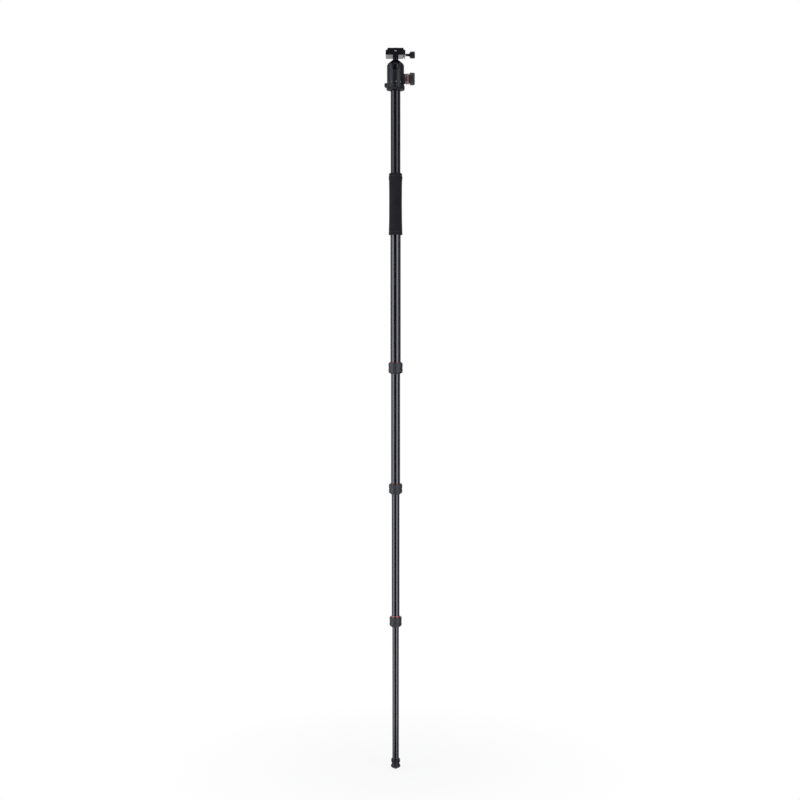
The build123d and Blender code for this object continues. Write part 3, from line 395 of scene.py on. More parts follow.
# Finishes. colour is the clean surface, worn is a rubbed edge or a scratch, and pattern with its scale
# and height in metres is the fine relief. edge is the rounding in millimetres, wear and dust are shares,
# and lift is how much the broad tone varies the colour.
finishes = {
    "tubeBlack": {
        "colour": (0.0026, 0.0028, 0.0044), "worn": (0.08, 0.08, 0.092), "rough": 0.17, "pattern": "drawn",
        "scale": 2600.0, "height": 0.000002, "edge": 0.25, "wear": 0.2, "dust": 0.01, "lift": 0.3,
        "values": {"Specular IOR Level": 1.0},
    },
    "columnBlack": {
        "colour": (0.0026, 0.0028, 0.0044), "worn": (0.07, 0.07, 0.08), "rough": 0.2, "pattern": "drawn",
        "scale": 2600.0, "height": 0.000002, "edge": 0.25, "wear": 0.2, "dust": 0.01, "lift": 0.3,
        "values": {"Specular IOR Level": 0.44},
    },
    "satinBlack": {
        "colour": (0.005, 0.0052, 0.0064), "worn": (0.14, 0.14, 0.15), "rough": 0.25, "pattern": "grain",
        "scale": 5200.0, "height": 0.000006, "edge": 0.35, "wear": 0.45, "dust": 0.04, "lift": 0.3,
        "values": {"Specular IOR Level": 0.4},
    },
    "charcoalCoat": {
        "colour": (0.0072, 0.0074, 0.009), "worn": (0.09, 0.09, 0.1), "rough": 0.36, "pattern": "grain",
        "scale": 1900.0, "height": 0.00002, "edge": 0.4, "wear": 0.35, "dust": 0.03, "lift": 0.25,
        "values": {"Specular IOR Level": 0.28},
    },
    "platformCoat": {
        "colour": (0.0072, 0.0074, 0.009), "worn": (0.09, 0.09, 0.1), "rough": 0.62, "pattern": "grain",
        "scale": 1900.0, "height": 0.00002, "edge": 0.4, "wear": 0.35, "dust": 0.03, "lift": 0.25,
        "values": {"Specular IOR Level": 0.3},
    },
    "redRing": {
        "colour": (0.12, 0.014, 0.018), "worn": (0.4, 0.26, 0.25), "rough": 0.32, "pattern": "turned",
        "scale": 9000.0, "height": 0.000006, "edge": 0.25, "wear": 0.6, "dust": 0.04, "lift": 0.15,
        "values": {"Metallic": 1.0, "Coat Weight": 0.7, "Coat Roughness": 0.2},
    },
    # Lighter copy of the red ring for the third lock: the raised colour is painted light, where that ring
    # catches more light than the other two
    "redRingPaintedLit": {
        "colour": (0.5, 0.13, 0.095), "worn": (0.72, 0.44, 0.36), "rough": 0.33, "pattern": "turned",
        "scale": 9000.0, "height": 0.000006, "edge": 0.25, "wear": 0.6, "dust": 0.04, "lift": 0.15,
        "values": {"Metallic": 1.0, "Coat Weight": 0.7, "Coat Roughness": 0.2},
    },
    "mouldedBlack": {
        "colour": (0.0068, 0.007, 0.0086), "worn": (0.04, 0.04, 0.046), "rough": 0.4, "pattern": "grain",
        "scale": 3600.0, "height": 0.000016, "edge": 0.4, "wear": 0.4, "dust": 0.04, "lift": 0.25,
        "values": {"Specular IOR Level": 0.32},
    },
    "gripRubber": {
        "colour": (0.0104, 0.0108, 0.0132), "worn": (0.048, 0.048, 0.054), "rough": 0.4, "pattern": "grain",
        "scale": 4300.0, "height": 0.000018, "edge": 0.35, "wear": 0.5, "dust": 0.1, "lift": 0.3,
        "values": {"Specular IOR Level": 0.6},
    },
    "steel": {
        "colour": (0.59, 0.59, 0.6), "worn": (0.72, 0.72, 0.72), "rough": 0.33, "pattern": "turned",
        "scale": 7000.0, "height": 0.000005, "edge": 0.2, "wear": 0.4, "dust": 0.05, "lift": 0.15,
        "values": {"Metallic": 1.0},
    },
    "brass": {
        "colour": (0.8, 0.57, 0.25), "worn": (0.9, 0.75, 0.43), "rough": 0.34, "pattern": "turned",
        "scale": 7000.0, "height": 0.000006, "edge": 0.25, "wear": 0.4, "dust": 0.03, "lift": 0.2,
        "values": {"Metallic": 1.0},
    },
    "nylon": {
        "colour": (0.66, 0.65, 0.6), "worn": (0.74, 0.73, 0.68), "rough": 0.42, "pattern": "grain",
        "scale": 2400.0, "height": 0.000012, "edge": 0.3, "wear": 0.3, "dust": 0.03, "lift": 0.12,
        "values": {"Specular IOR Level": 0.5, "Subsurface Weight": 0.08, "Subsurface Scale": 0.002},
    },
    "ballBlack": {
        "colour": (0.003, 0.0032, 0.005), "worn": (0.16, 0.16, 0.17), "rough": 0.2, "pattern": "turned",
        "scale": 6000.0, "height": 0.0000025, "edge": 0.3, "wear": 0.5, "dust": 0.03, "lift": 0.2,
        "values": {"Specular IOR Level": 0.3},
    },
    "scaleInk": {
        "colour": (0.34, 0.34, 0.35), "worn": (0.12, 0.12, 0.12), "rough": 0.55, "pattern": "grain",
        "scale": 6000.0, "height": 0.000008, "edge": 0.05, "wear": 0.4, "dust": 0.1, "lift": 0.15,
        "values": {"Specular IOR Level": 0.8},
    },
    "thread": {
        "colour": (0.028, 0.028, 0.034), "worn": (0.06, 0.06, 0.066), "rough": 0.6, "pattern": "turned",
        "scale": 5200.0, "height": 0.00003, "edge": 0.05, "wear": 0.2, "dust": 0.15, "lift": 0.2,
        "values": {"Specular IOR Level": 0.8, "Sheen Weight": 0.2},
    },
}


# How use shows on each finish: the colour of dust, and what smudges and rubbing add to the roughness.
# tintShare is how far a tint hides the tone under it.
traces = {"dust": (0.4, 0.39, 0.37), "smudgeLeast": -0.03, "smudgeMost": 0.06, "rubbed": 0.08,
          "tintShare": 0.65}


def makeLook(name, finish, lying=False, tint=None):
    # lying turns the pattern for pieces whose own axis runs along X
    look, tree, shader = newLook(name, finish["values"])
    place = objectPlace(tree)
    axis = mapped(tree, place, turn=(0, radians(90), 0)) if lying else place
    relief = useGroup(tree, groups[finish["pattern"]], Place=axis, Scale=finish["scale"])
    use = useGroup(tree, groups["handling"], Place=place)
    edge = useGroup(tree, groups["softEdge"], Radius=finish["edge"] * mm, Place=place)
    light = tuple(c * (1 + finish["lift"]) for c in finish["colour"])
    dark = tuple(c * (1 - finish["lift"]) for c in finish["colour"])
    tone = mixColour(tree, relief["Tone"], dark, light)
    base = mixColour(tree, traces["tintShare"], tone, tint(tree, place)) if tint else tone
    rubbed = maths(tree, "MULTIPLY", maths(tree, "MAXIMUM", edge["Worn"], use["Scratch"]), finish["wear"])
    base = mixColour(tree, rubbed, base, finish["worn"])
    dusty = maths(tree, "MULTIPLY", use["Dust"], finish["dust"])
    feed(tree, mixColour(tree, dusty, base, traces["dust"]), shader.inputs["Base Color"])
    rough = ranged(tree, use["Smudge"], 0, 1, finish["rough"] + traces["smudgeLeast"],
                   finish["rough"] + traces["smudgeMost"])
    dulled = maths(tree, "MULTIPLY", rubbed, traces["rubbed"])
    feed(tree, maths(tree, "ADD", rough, dulled), shader.inputs["Roughness"])
    addBump(tree, shader, relief["Height"], finish["height"], edge["Normal"])
    return look


looks = {name: makeLook(name, finish) for name, finish in finishes.items()}
for name in ("steel", "mouldedBlack"):
    looks[name + "Lying"] = makeLook(name + "Lying", finishes[name], lying=True)

# The main knob's trim ring: red at both rims, a darker red than the other rings as painted shade, and bright
# between them, partly machined metal and partly a painted highlight. start, end and blend are millimetres
# along X.
trimBand = {"start": 26.8, "end": 31.3, "blend": 0.15, "rim": (0.055, 0.008, 0.01),
            "machinedAndHighlight": (0.42, 0.28, 0.31)}


def trimTint(tree, place):
    x = axesOf(tree, place)[0]
    rise = ranged(tree, x, trimBand["start"] * mm, (trimBand["start"] + trimBand["blend"]) * mm)
    fall = ranged(tree, x, (trimBand["end"] + trimBand["blend"]) * mm, trimBand["end"] * mm)
    band = maths(tree, "MULTIPLY", rise, fall)
    # rims take the darker red, painted shade; the band takes the bright colour, partly machined metal and
    # partly painted highlight
    return mixColour(tree, band, trimBand["rim"], trimBand["machinedAndHighlight"])


looks["mainTrim"] = makeLook("mainTrim", finishes["redRing"], lying=True, tint=trimTint)

# Soft grip: matte black jersey over foam
fabric = {
    "colour": (0.0045, 0.0046, 0.006), "lit": (0.0098, 0.01, 0.0125), "wales": 168.0, "rows": 2100.0,
    "height": 0.00009, "roughLeast": 0.8, "roughMost": 0.9, "dust": (0.3, 0.29, 0.28), "dustShare": 0.05,
    "values": {"Sheen Weight": 0.06, "Sheen Roughness": 0.4, "Specular IOR Level": 0.25},
}


def makeFabric():
    look, tree, shader = newLook("sleeveFabric", fabric["values"])
    place = objectPlace(tree)
    knit = useGroup(tree, groups["knit"], Place=place, Wales=fabric["wales"], Rows=fabric["rows"])
    use = useGroup(tree, groups["handling"], Place=place)
    # colour in the knit's gaps and creases, lit on the yarn tops: painted shade and painted light of the knit
    base = mixColour(tree, knit["Tone"], fabric["colour"], fabric["lit"])
    dusty = maths(tree, "MULTIPLY", use["Dust"], fabric["dustShare"])
    feed(tree, mixColour(tree, dusty, base, fabric["dust"]), shader.inputs["Base Color"])
    rough = ranged(tree, use["Smudge"], 0, 1, fabric["roughLeast"], fabric["roughMost"])
    feed(tree, rough, shader.inputs["Roughness"])
    addBump(tree, shader, knit["Height"], fabric["height"])
    return look


looks["sleeveFabric"] = makeFabric()

slotLooks = {
    "black_anodised": "tubeBlack", "satin_black": "satinBlack", "charcoal_coat": "charcoalCoat",
    "red_anodised": "redRing", "collar_plastic": "mouldedBlack", "grip_rubber": "gripRubber",
    "foam": "sleeveFabric", "steel": "steel", "brass": "brass", "nylon": "nylon", "ball_black": "ballBlack",
}
# The third lock's trim ring takes the lighter copy of the red, which is painted light
nodeLooks = {
    "column_tube": "columnBlack", "platform": "platformCoat", "ball_seat_ring": "mouldedBlack",
    "lock_3_trim_ring": "redRingPaintedLit", "main_trim_ring": "mainTrim", "main_screw": "steelLying",
    "main_wedge": "steelLying", "clamp_screw": "steelLying", "main_knob": "mouldedBlackLying",
    "clamp_knob": "mouldedBlackLying",
}
for part in frame["record"]["subparts"]:
    name = part["node"]
    chosen = nodeLooks.get(name, slotLooks[part["material_slot"]])
    for place in cadNodes[name].material_slots:
        place.material = looks[chosen]
print("finishes ready:", len(looks))


# Helpers for new pieces

def lathe(bm, profile, steps, closed=False):
    # profile: radius and height pairs in millimetres, turned round the Z axis
    points = [bm.verts.new((r * mm, 0, z * mm)) for r, z in profile]
    edges = [bm.edges.new(pair) for pair in zip(points, points[1:])]
    if closed:
        edges.append(bm.edges.new((points[-1], points[0])))
    bmesh.ops.spin(bm, geom=points + edges, axis=(0, 0, 1), cent=(0, 0, 0), angle=2 * pi,
                   steps=steps, use_merge=True)


def finishPiece(bm, name, body, look, replaced=(), place=None, sharp=38, levels=0):
    if place:
        bm.transform(place)
    bmesh.ops.remove_doubles(bm, verts=bm.verts, dist=0.002 * mm)
    bmesh.ops.recalc_face_normals(bm, faces=bm.faces)
    mesh = bpy.data.meshes.new(name)
    bm.to_mesh(mesh)
    bm.free()
    mesh.polygons.foreach_set("use_smooth", [True] * len(mesh.polygons))
    mesh.set_sharp_from_angle(angle=radians(sharp))
    mesh.materials.append(looks[look])
    piece = bpy.data.objects.new(name, mesh)
    scene.collection.objects.link(piece)
    if levels:
        smooth = piece.modifiers.new("smooth", "SUBSURF")
        smooth.levels = levels
        smooth.render_levels = levels
    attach(piece, body)
    if replaced:
        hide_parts(*replaced)
    return piece


def pointingOut(angle, height):
    # turns a piece made along Z to lie along the direction at this angle from +X, at this height
    return (Matrix.Translation((0, 0, height)) @ Matrix.Rotation(radians(angle), 4, "Z")
            @ Matrix.Rotation(radians(90), 4, "Y"))


def smoothStep(value, low, high):
    share = min(max((value - low) / (high - low), 0), 1)
    return share * share * (3 - 2 * share)


def pointsOf(bm):
    # each point with its distance from the Z axis and its height, in millimetres
    for vert in bm.verts:
        yield vert, hypot(vert.co.x, vert.co.y) / mm, vert.co.z / mm


def turnShare(vert, count):
    # how far round the Z axis a point lies, in one of count equal parts, from 0 to 1
    return atan2(vert.co.y, vert.co.x) / (2 * pi) * count % 1


def dentAt(vert, count, width):
    # 1 in the middle of each of count parts, and fading to 0 on both sides
    return exp(-((turnShare(vert, count) - 0.5) / width) ** 2)


def scaleAcross(vert, factor):
    vert.co.x *= factor
    vert.co.y *= factor


# Soft grip: foam sleeve with rolled hems, a sewn welt under the top hem and a seam down its back.
# The outside runs from the bottom up, as radius and height in millimetres. What lies beyond outerFrom
# is rippled, and the ripples fade from calmFrom to calmTo above and below.
sleeve = {
    "steps": 72, "inner": 12.62, "columnInner": 11.82, "outerFrom": 14, "ripple": 0.16,
    "rippleTurns": 1.4, "rippleHeight": 15, "calmFrom": 60, "calmTo": 73, "seamRise": 0.3, "seamWidth": 1.7,
    "outside": [
        (13.1, -73.5), (15.2, -73.45), (16.2, -72.9), (16.55, -71.6), (16.6, -69.6), (16.45, -67.9),
        (16.15, -67.0), (15.95, -66.5), (16.1, -65.8), (16.2, -64.6), (16.1, -61.0), (15.85, -54.0),
        (15.6, -44.0), (15.4, -30.0), (15.3, -12.0), (15.25, 8.0), (15.3, 26.0), (15.4, 40.0),
        (15.6, 50.0), (15.85, 56.5), (16.1, 59.6), (16.4, 60.8), (16.65, 61.7), (16.7, 62.5),
        (16.6, 63.3), (16.3, 64.0), (16.0, 64.9), (15.85, 66.3), (15.65, 66.9), (15.8, 67.5),
        (15.85, 69.2), (15.7, 71.0), (15.3, 72.5), (14.4, 73.3), (13.2, 73.5),
    ],
    "hemRows": (-66.5, 66.9), "seamStart": -63.0, "seamEnd": 58.0,
}


def sleeveRadius(height):
    points = sleeve["outside"]
    for (r1, z1), (r2, z2) in zip(points, points[1:]):
        if z1 <= height <= z2:
            return r1 + (r2 - r1) * (height - z1) / (z2 - z1)
    return points[0][0]


def makeSleeve():
    bm = bmesh.new()
    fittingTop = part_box("column_tube")[0].z / mm
    tubeBore = sleeve["inner"]
    columnBore = sleeve["columnInner"]
    inside = [(columnBore, 73.3), (columnBore, 72.0), (columnBore, fittingTop + 1.6),
              (columnBore + 0.05, fittingTop + 1.0), (tubeBore, fittingTop + 0.4),
              (tubeBore, fittingTop - 0.6), (tubeBore, -30), (tubeBore, -72.0), (tubeBore, -73.3)]
    lathe(bm, sleeve["outside"] + inside, sleeve["steps"], closed=True)
    turns = sleeve["rippleTurns"]
    for vert, radius, height in pointsOf(bm):
        if radius < sleeve["outerFrom"]:
            continue
        angle = atan2(vert.co.y, vert.co.x)
        around = Vector((cos(angle) * turns, sin(angle) * turns, height / sleeve["rippleHeight"]))
        calm = smoothStep(abs(height), sleeve["calmTo"], sleeve["calmFrom"])
        ripple = sleeve["ripple"] * noise.noise(around) * calm
        fromSeam = abs(angle - pi / 2) * radius
        seam = sleeve["seamRise"] * exp(-(fromSeam / sleeve["seamWidth"]) ** 2)
        scaleAcross(vert, 1 + (ripple + seam * calm) / radius)
    piece = finishPiece(bm, "gripSleeve", "upper_leg", "sleeveFabric", ("grip_sleeve",),
                        sharp=80, levels=2)


# Stitches: a zigzag down the seam and a row round each hem, in millimetres. Lengths and thicknesses are
# half sizes, flat is the width over the thickness, and stand is how far a stitch's middle lies out.
stitches = {"flat": 1.3, "pitch": 2.3, "tilt": 38, "seamLength": 1.5, "seamThickness": 0.22,
            "seamStand": 0.05, "hemCount": 36, "hemLength": 1.0, "hemThickness": 0.18, "hemStand": 0.12}


def addStitch(bm, place, length, thickness):
    made = bmesh.ops.create_uvsphere(bm, u_segments=6, v_segments=4, radius=1.0)["verts"]
    bmesh.ops.scale(bm, verts=made, vec=Vector((length, thickness * stitches["flat"], thickness)) * mm)
    bmesh.ops.transform(bm, verts=made, matrix=place)


def surfacePlace(angle, height, radius, tilt=0.0):
    # local X runs round the piece and local Z points out of it
    return (Matrix.Rotation(angle, 4, "Z") @ Matrix.Translation((radius * mm, 0, height * mm))
            @ Matrix.Rotation(pi / 2, 4, "Y") @ Matrix.Rotation(pi / 2 + tilt, 4, "Z"))


def makeStitches():
    s = stitches
    bm = bmesh.new()
    for n in range(int((sleeve["seamEnd"] - sleeve["seamStart"]) / s["pitch"])):
        height = sleeve["seamStart"] + (n + 0.5) * s["pitch"]
        tilt = radians(s["tilt"] if n % 2 else -s["tilt"])
        outer = sleeveRadius(height) + sleeve["seamRise"] + s["seamStand"]
        addStitch(bm, surfacePlace(pi / 2, height, outer, tilt), s["seamLength"], s["seamThickness"])
    for row in sleeve["hemRows"]:
        outer = sleeveRadius(row) + s["hemStand"]
        for n in range(s["hemCount"]):
            place = surfacePlace(2 * pi * n / s["hemCount"], row, outer)
            addStitch(bm, place, s["hemLength"], s["hemThickness"])
    finishPiece(bm, "sleeveStitches", "upper_leg", "thread", sharp=60)


makeSleeve()
makeStitches()
print("soft grip ready")

# Rubber grips on the three lock collars: two fluted bands with a plain groove between them, and a taper
# at the bottom
collarGrip = {"wall": 1.18, "flutes": 26, "across": 8, "fluteDepth": 0.42, "fluteWidth": 0.2,
              "groove": 0.55, "grooveHalf": 1.6, "grooveDrop": 0.3, "taper": 1.1, "taperHeight": 3.0,
              "round": 0.9, "rows": 6}


def makeCollarGrip(number):
    low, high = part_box(f"lock_{number}_grip")
    outer = high.x / mm
    bottom = low.z / mm
    top = high.z / mm
    inner = outer - collarGrip["wall"]
    middle = (bottom + top) / 2 - collarGrip["grooveDrop"]
    curve = collarGrip["round"]
    half = collarGrip["grooveHalf"]
    rows = collarGrip["rows"]
    cut = outer - collarGrip["groove"]
    profile = [(inner, top), (outer - curve * 0.9, top), (outer - curve * 0.35, top - curve * 0.3),
               (outer, top - curve)]
    bandTop = top - curve - 0.7
    bandLow = bottom + collarGrip["taperHeight"] + 0.3
    for start, end in ((bandTop, middle + half + 0.9), (middle - half - 0.9, bandLow)):
        for n in range(rows + 1):
            profile.append((outer, start + (end - start) * n / rows))
        if end > middle:
            profile += [(outer, middle + half), (cut + 0.08, middle + half * 0.62),
                        (cut, middle + half * 0.4), (cut, middle - half * 0.4),
                        (cut + 0.08, middle - half * 0.62), (outer, middle - half)]
    profile += [(outer, bottom + 2.6), (outer - 0.25, bottom + 1.7), (outer - collarGrip["taper"], bottom),
                (inner - collarGrip["taper"] + 0.1, bottom), (inner, bottom + 2.5)]
    bm = bmesh.new()
    steps = collarGrip["flutes"] * collarGrip["across"]
    lathe(bm, profile, steps, closed=True)
    for vert, radius, height in pointsOf(bm):
        if radius < outer - 0.05:
            continue
        upper = (smoothStep(height, middle + half + 0.2, middle + half + 1.2)
                 * smoothStep(height, bandTop + 0.1, bandTop - 0.9))
        lower = (smoothStep(height, bandLow - 0.1, bandLow + 0.9)
                 * smoothStep(height, middle - half - 0.2, middle - half - 1.2))
        flute = dentAt(vert, collarGrip["flutes"], collarGrip["fluteWidth"])
        scaleAcross(vert, 1 - collarGrip["fluteDepth"] * flute * (upper + lower) / radius)
    finishPiece(bm, f"collarGrip_{number}", f"lock_{number}_collar", "gripRubber",
                (f"lock_{number}_grip",), sharp=50)


for number in (1, 2, 3):
    makeCollarGrip(number)
print("lock grips ready")

# Rubber foot: waist, bulge with a fine ring round it, and a ribbed sole with a blunt nose. The outline
# runs up from the tip, as radius and height in millimetres, and its last point is carried on to the top.
foot = {
    "steps": 96, "studHole": 4.05, "studDepth": 9.3, "topRadius": 9.0, "topEdge": 0.5, "treads": 12,
    "treadDepth": 0.55, "treadWidth": 0.16, "treadInner": 4.5, "treadOuter": 11.2, "treadTop": 7,
    "outline": [
        (0, 0), (1.2, 0.03), (2.1, 0.25), (2.8, 0.9), (3.5, 1.7), (4.2, 2.15), (5.2, 2.45), (6.4, 2.8),
        (7.8, 3.25), (9.1, 3.9), (10.1, 4.7), (10.9, 5.7), (11.4, 6.8), (11.65, 7.8), (11.63, 8.7),
        (11.3, 9.4), (11.05, 9.7), (11.1, 10.05), (10.6, 10.95), (9.9, 12.05), (9.5, 12.8), (9.4, 13.4),
        (9.4, 14.6), (9.1, 14.9), (9.4, 15.2),
    ],
}


def makeFoot():
    low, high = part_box("rubber_foot")
    tip = low.z / mm
    joint = high.z / mm
    profile = [(r, tip + z) for r, z in foot["outline"]]
    profile += [(profile[-1][0], joint - foot["topEdge"]), (foot["topRadius"], joint),
                (foot["studHole"], joint), (foot["studHole"], joint - foot["studDepth"]),
                (0, joint - foot["studDepth"])]
    bm = bmesh.new()
    lathe(bm, profile, foot["steps"])
    inner = foot["treadInner"]
    outer = foot["treadOuter"]
    for vert, radius, height in pointsOf(bm):
        if not (inner < radius < outer and height - tip < foot["treadTop"]):
            continue
        ends = smoothStep(radius, inner, inner + 1.3) * smoothStep(radius, outer, outer - 1.2)
        vert.co.z += foot["treadDepth"] * dentAt(vert, foot["treads"], foot["treadWidth"]) * ends * mm
    finishPiece(bm, "footRubber", "leg_stage_4", "mouldedBlack", ("rubber_foot",), sharp=50)


makeFoot()
print("foot ready")

# Pan lock knob, with a straight knurl round it
panKnob = {"angle": 150.0, "level": 2.7, "radius": 6.1, "neck": 3.0, "screw": 2.0, "screwEnd": 17.4,
           "face": 20.75, "start": 22.4, "end": 28.0, "edge": 1.0, "ribs": 20, "across": 6, "depth": 0.32,
           "ribWidth": 0.2, "rows": 6}


def makePanKnob():
    k = panKnob
    start = k["start"]
    end = k["end"]
    profile = [(0, k["screwEnd"]), (k["screw"], k["screwEnd"]), (k["screw"], k["face"]),
               (k["neck"], k["face"]), (k["neck"], start), (k["radius"] - 0.7, start),
               (k["radius"] - 0.15, start + 0.3)]
    for n in range(k["rows"] + 1):
        profile.append((k["radius"], start + 0.7 + (end - start - 0.7 - k["edge"]) * n / k["rows"]))
    profile += [(k["radius"] - 0.3, end - 0.45), (k["radius"] - 0.95, end - 0.05), (k["radius"] - 1.4, end),
                (3.6, end), (3.3, end - 0.25), (0, end - 0.35)]
    bm = bmesh.new()
    lathe(bm, profile, k["ribs"] * k["across"])
    for vert, radius, height in pointsOf(bm):
        if radius < k["radius"] - 0.02:
            continue
        band = (smoothStep(height, start + 0.6, start + 1.3)
                * smoothStep(height, end - k["edge"] + 0.1, end - 1.8))
        scaleAcross(vert, 1 - k["depth"] * dentAt(vert, k["ribs"], k["ribWidth"]) * band / radius)
    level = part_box("ball_housing")[0].z + k["level"] * mm
    finishPiece(bm, "panKnob", "pan_lock_knob", "mouldedBlack", ("pan_lock_knob",),
                place=pointingOut(k["angle"], level), sharp=45)


makePanKnob()

# Trim ring beside the main knob: a fine straight knurl between two plain rims
trimRing = {"bore": 4.02, "ridges": 84, "across": 4, "depth": 0.2, "firstRim": 2.0, "lastRim": 0.55,
            "groove": 0.15, "flank": 0.15, "recess": 0.05, "rows": 4}


def makeTrimRing():
    t = trimRing
    low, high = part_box("main_trim_ring")
    level = (low.z + high.z) / 2
    outer = high.y / mm
    start = low.x / mm
    end = high.x / mm
    flank = t["flank"]
    knurl = outer - t["recess"]
    knurlStart = start + t["firstRim"] + flank
    knurlEnd = end - t["lastRim"] - flank
    profile = [(t["bore"], start), (outer - 0.3, start), (outer - 0.08, start + 0.08), (outer, start + 0.3),
               (outer, start + t["firstRim"] - flank), (outer - t["groove"], start + t["firstRim"])]
    for n in range(t["rows"] + 1):
        profile.append((knurl, knurlStart + (knurlEnd - knurlStart) * n / t["rows"]))
    profile += [(outer - t["groove"], knurlEnd + flank), (outer, knurlEnd + 2 * flank), (outer, end - 0.25),
                (outer - 0.08, end - 0.08), (outer - 0.3, end), (t["bore"], end)]
    bm = bmesh.new()
    lathe(bm, profile, t["ridges"] * t["across"], closed=True)
    for vert, radius, height in pointsOf(bm):
        if abs(radius - knurl) > 0.01 or not (knurlStart - 0.01 < height < knurlEnd + 0.01):
            continue
        scaleAcross(vert, 1 - t["depth"] * abs(2 * turnShare(vert, t["ridges"]) - 1) / radius)
    finishPiece(bm, "mainTrimRing", "main_knob", "mainTrim", ("main_trim_ring",),
                place=pointingOut(0, level), sharp=40)


makeTrimRing()

# Scale round the bottom of the ball housing: plain printed strokes, none behind the main knob's boss
scaleMarks = {"offset": 5.0, "step": 30, "skip": 26.0, "width": 0.9, "height": 3.2, "above": 4.9,
              "stand": 0.03}


def makeScale():
    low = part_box("ball_housing")[0]
    radius = -low.x
    bm = bmesh.new()
    middle = low.z + (scaleMarks["above"] + scaleMarks["height"] / 2) * mm
    stand = scaleMarks["stand"] * mm
    for degrees in range(0, 360, scaleMarks["step"]):
        fromKnob = (degrees + scaleMarks["offset"] - 90 + 180) % 360 - 180
        if abs(fromKnob) < scaleMarks["skip"]:
            continue
        made = bmesh.ops.create_grid(bm, x_segments=2, y_segments=4, size=0.5)["verts"]
        bmesh.ops.scale(bm, verts=made, vec=(scaleMarks["width"] * mm, scaleMarks["height"] * mm, 1))
        bmesh.ops.transform(bm, verts=made, matrix=surfacePlace(radians(fromKnob), middle / mm, radius / mm))
    for vert in bm.verts:
        scaleAcross(vert, (radius + stand) / hypot(vert.co.x, vert.co.y))
    bmesh.ops.recalc_face_normals(bm, faces=bm.faces)
    bmesh.ops.solidify(bm, geom=bm.faces[:], thickness=2 * stand)
    finishPiece(bm, "housingScale", "head", "scaleInk")


makeScale()
print("head details ready")

# Rubber pads on the plate: a thin base with raised ribs along it
pads = {"width": 10.0, "length": 44.0, "spacing": 24.0, "corner": 2.0, "base": 0.45, "ribs": 6,
        "ribWidth": 0.8, "ribCorner": 0.35, "ribInset": 0.8, "outerInset": 1.4, "side": 0.8, "ribBottom": 0.2,
        "softBase": 0.1, "softRib": 0.16}


def roundedSlab(bm, size, centre, corner, soften):
    made = bmesh.ops.create_cube(bm, size=1.0)["verts"]
    bmesh.ops.scale(bm, verts=made, vec=Vector(size) * mm)
    bmesh.ops.translate(bm, verts=made, vec=Vector(centre))
    upright = [e for e in bm.edges if e.verts[0] in made
               and abs(e.verts[0].co.z - e.verts[1].co.z) > 0.5 * size[2] * mm]
    bmesh.ops.bevel(bm, geom=upright, offset=corner * mm, offset_type="OFFSET", affect="EDGES",
                    segments=5, profile=0.5, material=-1)
    top = centre.z + size[2] * mm / 2
    # the edges round the top of this slab alone
    rim = [e for e in bm.edges if all(abs(v.co.z - top) < 1e-7 for v in e.verts)
           and all(abs(v.co.x - centre.x) <= (size[0] / 2 + 0.01) * mm for v in e.verts)]
    bmesh.ops.bevel(bm, geom=rim, offset=soften * mm, offset_type="OFFSET", affect="EDGES", segments=2,
                    profile=0.5, material=-1)


def makePads():
    low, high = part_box("plate_pads")
    bm = bmesh.new()
    for side in (-1, 1):
        middle = side * pads["spacing"] / 2 * mm
        roundedSlab(bm, (pads["width"], pads["length"], pads["base"]),
                    Vector((middle, 0, low.z + pads["base"] / 2 * mm)), pads["corner"], pads["softBase"])
        total = (high.z - low.z) / mm
        spacing = (pads["width"] - 2 * pads["side"]) / pads["ribs"]
        for n in range(pads["ribs"]):
            across = (n - (pads["ribs"] - 1) / 2) * spacing
            inset = pads["outerInset"] if n in (0, pads["ribs"] - 1) else pads["ribInset"]
            roundedSlab(bm, (pads["ribWidth"], pads["length"] - 2 * inset, total - pads["ribBottom"]),
                        Vector((middle + across * mm, 0, low.z + (total + pads["ribBottom"]) / 2 * mm)),
                        pads["ribCorner"], pads["softRib"])
    finishPiece(bm, "ribbedPads", "plate", "gripRubber", ("plate_pads",), sharp=40)


makePads()

# Camera screw: coin slot below, neck in the plate, and a 1/4 inch thread of 20 to the inch above
cameraScrew = {"head": 9.0, "headHeight": 3.8, "neck": 2.6, "thread": 3.175, "pitch": 1.27, "depth": 0.62,
               "slot": 2.0, "slotDepth": 1.6, "steps": 48, "row": 0.16, "flankPower": 1.15}


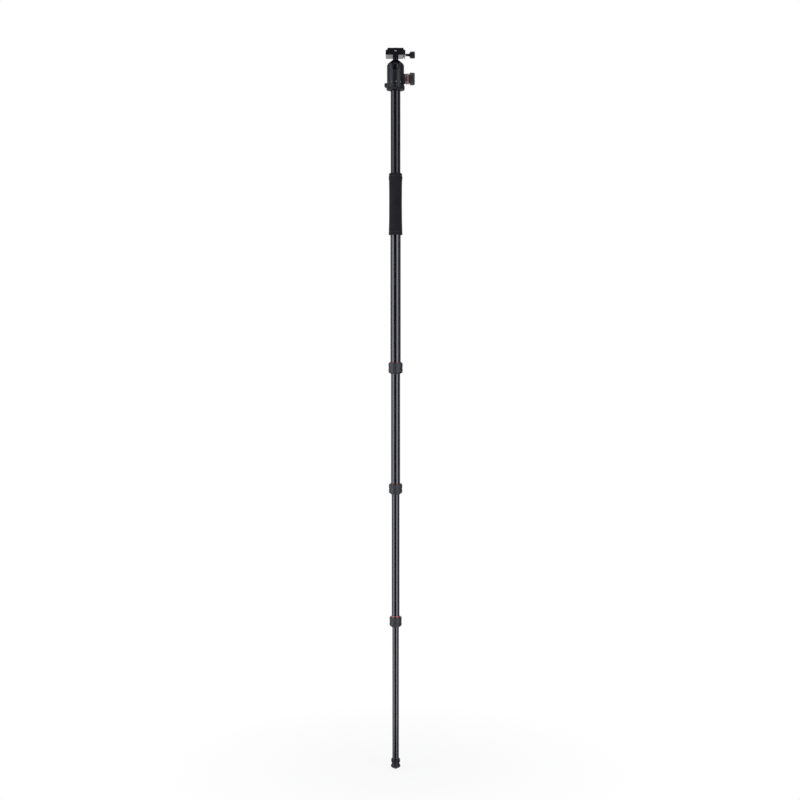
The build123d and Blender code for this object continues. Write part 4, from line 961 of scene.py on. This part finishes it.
def makeCameraScrew():
    s = cameraScrew
    low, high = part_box("camera_screw")
    bottom = low.z / mm
    top = high.z / mm
    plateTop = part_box("release_plate")[1].z / mm
    headTop = bottom + s["headHeight"]
    profile = [(0, bottom), (s["head"] - 0.5, bottom), (s["head"], bottom + 0.5), (s["head"], headTop - 0.3),
               (s["head"] - 0.3, headTop), (s["neck"], headTop), (s["neck"], plateTop - 0.3)]
    rows = ceil((top - plateTop - 0.5) / s["row"])
    for n in range(rows + 1):
        profile.append((s["thread"], plateTop - 0.1 + (top - plateTop - 0.5) * n / rows))
    profile += [(s["thread"] - s["depth"], top - 0.15), (s["thread"] - s["depth"] - 0.4, top), (0, top)]
    bm = bmesh.new()
    lathe(bm, profile, s["steps"])
    for vert, radius, height in pointsOf(bm):
        if height < plateTop - 0.2 or abs(radius - s["thread"]) > 0.01:
            continue
        phase = (height / s["pitch"] - atan2(vert.co.y, vert.co.x) / (2 * pi)) % 1
        scaleAcross(vert, 1 - s["depth"] * (1 - abs(2 * phase - 1)) ** s["flankPower"] / radius)
    half = s["slot"] / 2 * mm
    floorLevel = (bottom + s["slotDepth"]) * mm
    for across in (-half, half):
        bmesh.ops.bisect_plane(bm, geom=bm.verts[:] + bm.edges[:] + bm.faces[:], dist=1e-7,
                               plane_co=(0, across, 0), plane_no=(0, 1, 0))
    bmesh.ops.remove_doubles(bm, verts=bm.verts, dist=0.002 * mm)
    inSlot = [f for f in bm.faces if abs(f.calc_center_median().y) < half
              and abs(f.calc_center_median().z - bottom * mm) < 0.01 * mm]
    bmesh.ops.inset_region(bm, faces=inSlot, thickness=0.01 * mm, use_boundary=True)
    for vert in {v for f in inSlot for v in f.verts}:
        vert.co.z = floorLevel
    finishPiece(bm, "cameraScrew", "camera_screw", "steel", ("camera_screw",), sharp=32)


makeCameraScrew()

# Four like screws in the plate: two stops under it and one in each end, with domed socket heads
plateScrew = {"radius": 1.68, "length": 6.0, "dome": 0.55, "socket": 0.85, "socketDepth": 1.1,
              "spacing": 30.0, "endInset": 0.3, "endHeight": 2.5, "steps": 36, "domeRows": 5, "domeStep": 14}


def makePlateScrews():
    s = plateScrew
    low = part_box("plate_screws")[0]
    plateLow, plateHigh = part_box("release_plate")
    r = s["radius"]
    places = []
    for side in (-1, 1):
        under = Vector((0, side * s["spacing"] / 2 * mm, low.z))
        places.append(Matrix.Translation(under) @ Matrix.Rotation(pi, 4, "X"))
        end = Vector((0, side * (plateHigh.y - s["endInset"] * mm), plateLow.z + s["endHeight"] * mm))
        places.append(Matrix.Translation(end) @ Matrix.Rotation(-side * pi / 2, 4, "X"))
    bm = bmesh.new()
    for place in places:
        one = bmesh.new()
        profile = [(0, -s["length"]), (r - 0.3, -s["length"]), (r, -s["length"] + 0.3), (r, -s["dome"])]
        for n in range(1, s["domeRows"] + 1):
            turn = radians(s["domeStep"] * n)
            profile.append((s["socket"] + (r - s["socket"]) * cos(turn), -s["dome"] + s["dome"] * sin(turn)))
        profile += [(s["socket"], 0), (s["socket"] - 0.05, -s["socketDepth"]), (0, -s["socketDepth"] - 0.25)]
        lathe(one, profile, s["steps"])
        one.transform(place)
        made = bpy.data.meshes.new("screw")
        one.to_mesh(made)
        one.free()
        bm.from_mesh(made)
        bpy.data.meshes.remove(made)
    finishPiece(bm, "plateScrews", "plate", "steel", ("plate_screws",), sharp=40)


makePlateScrews()
print("plate details ready")

print("scene ready")
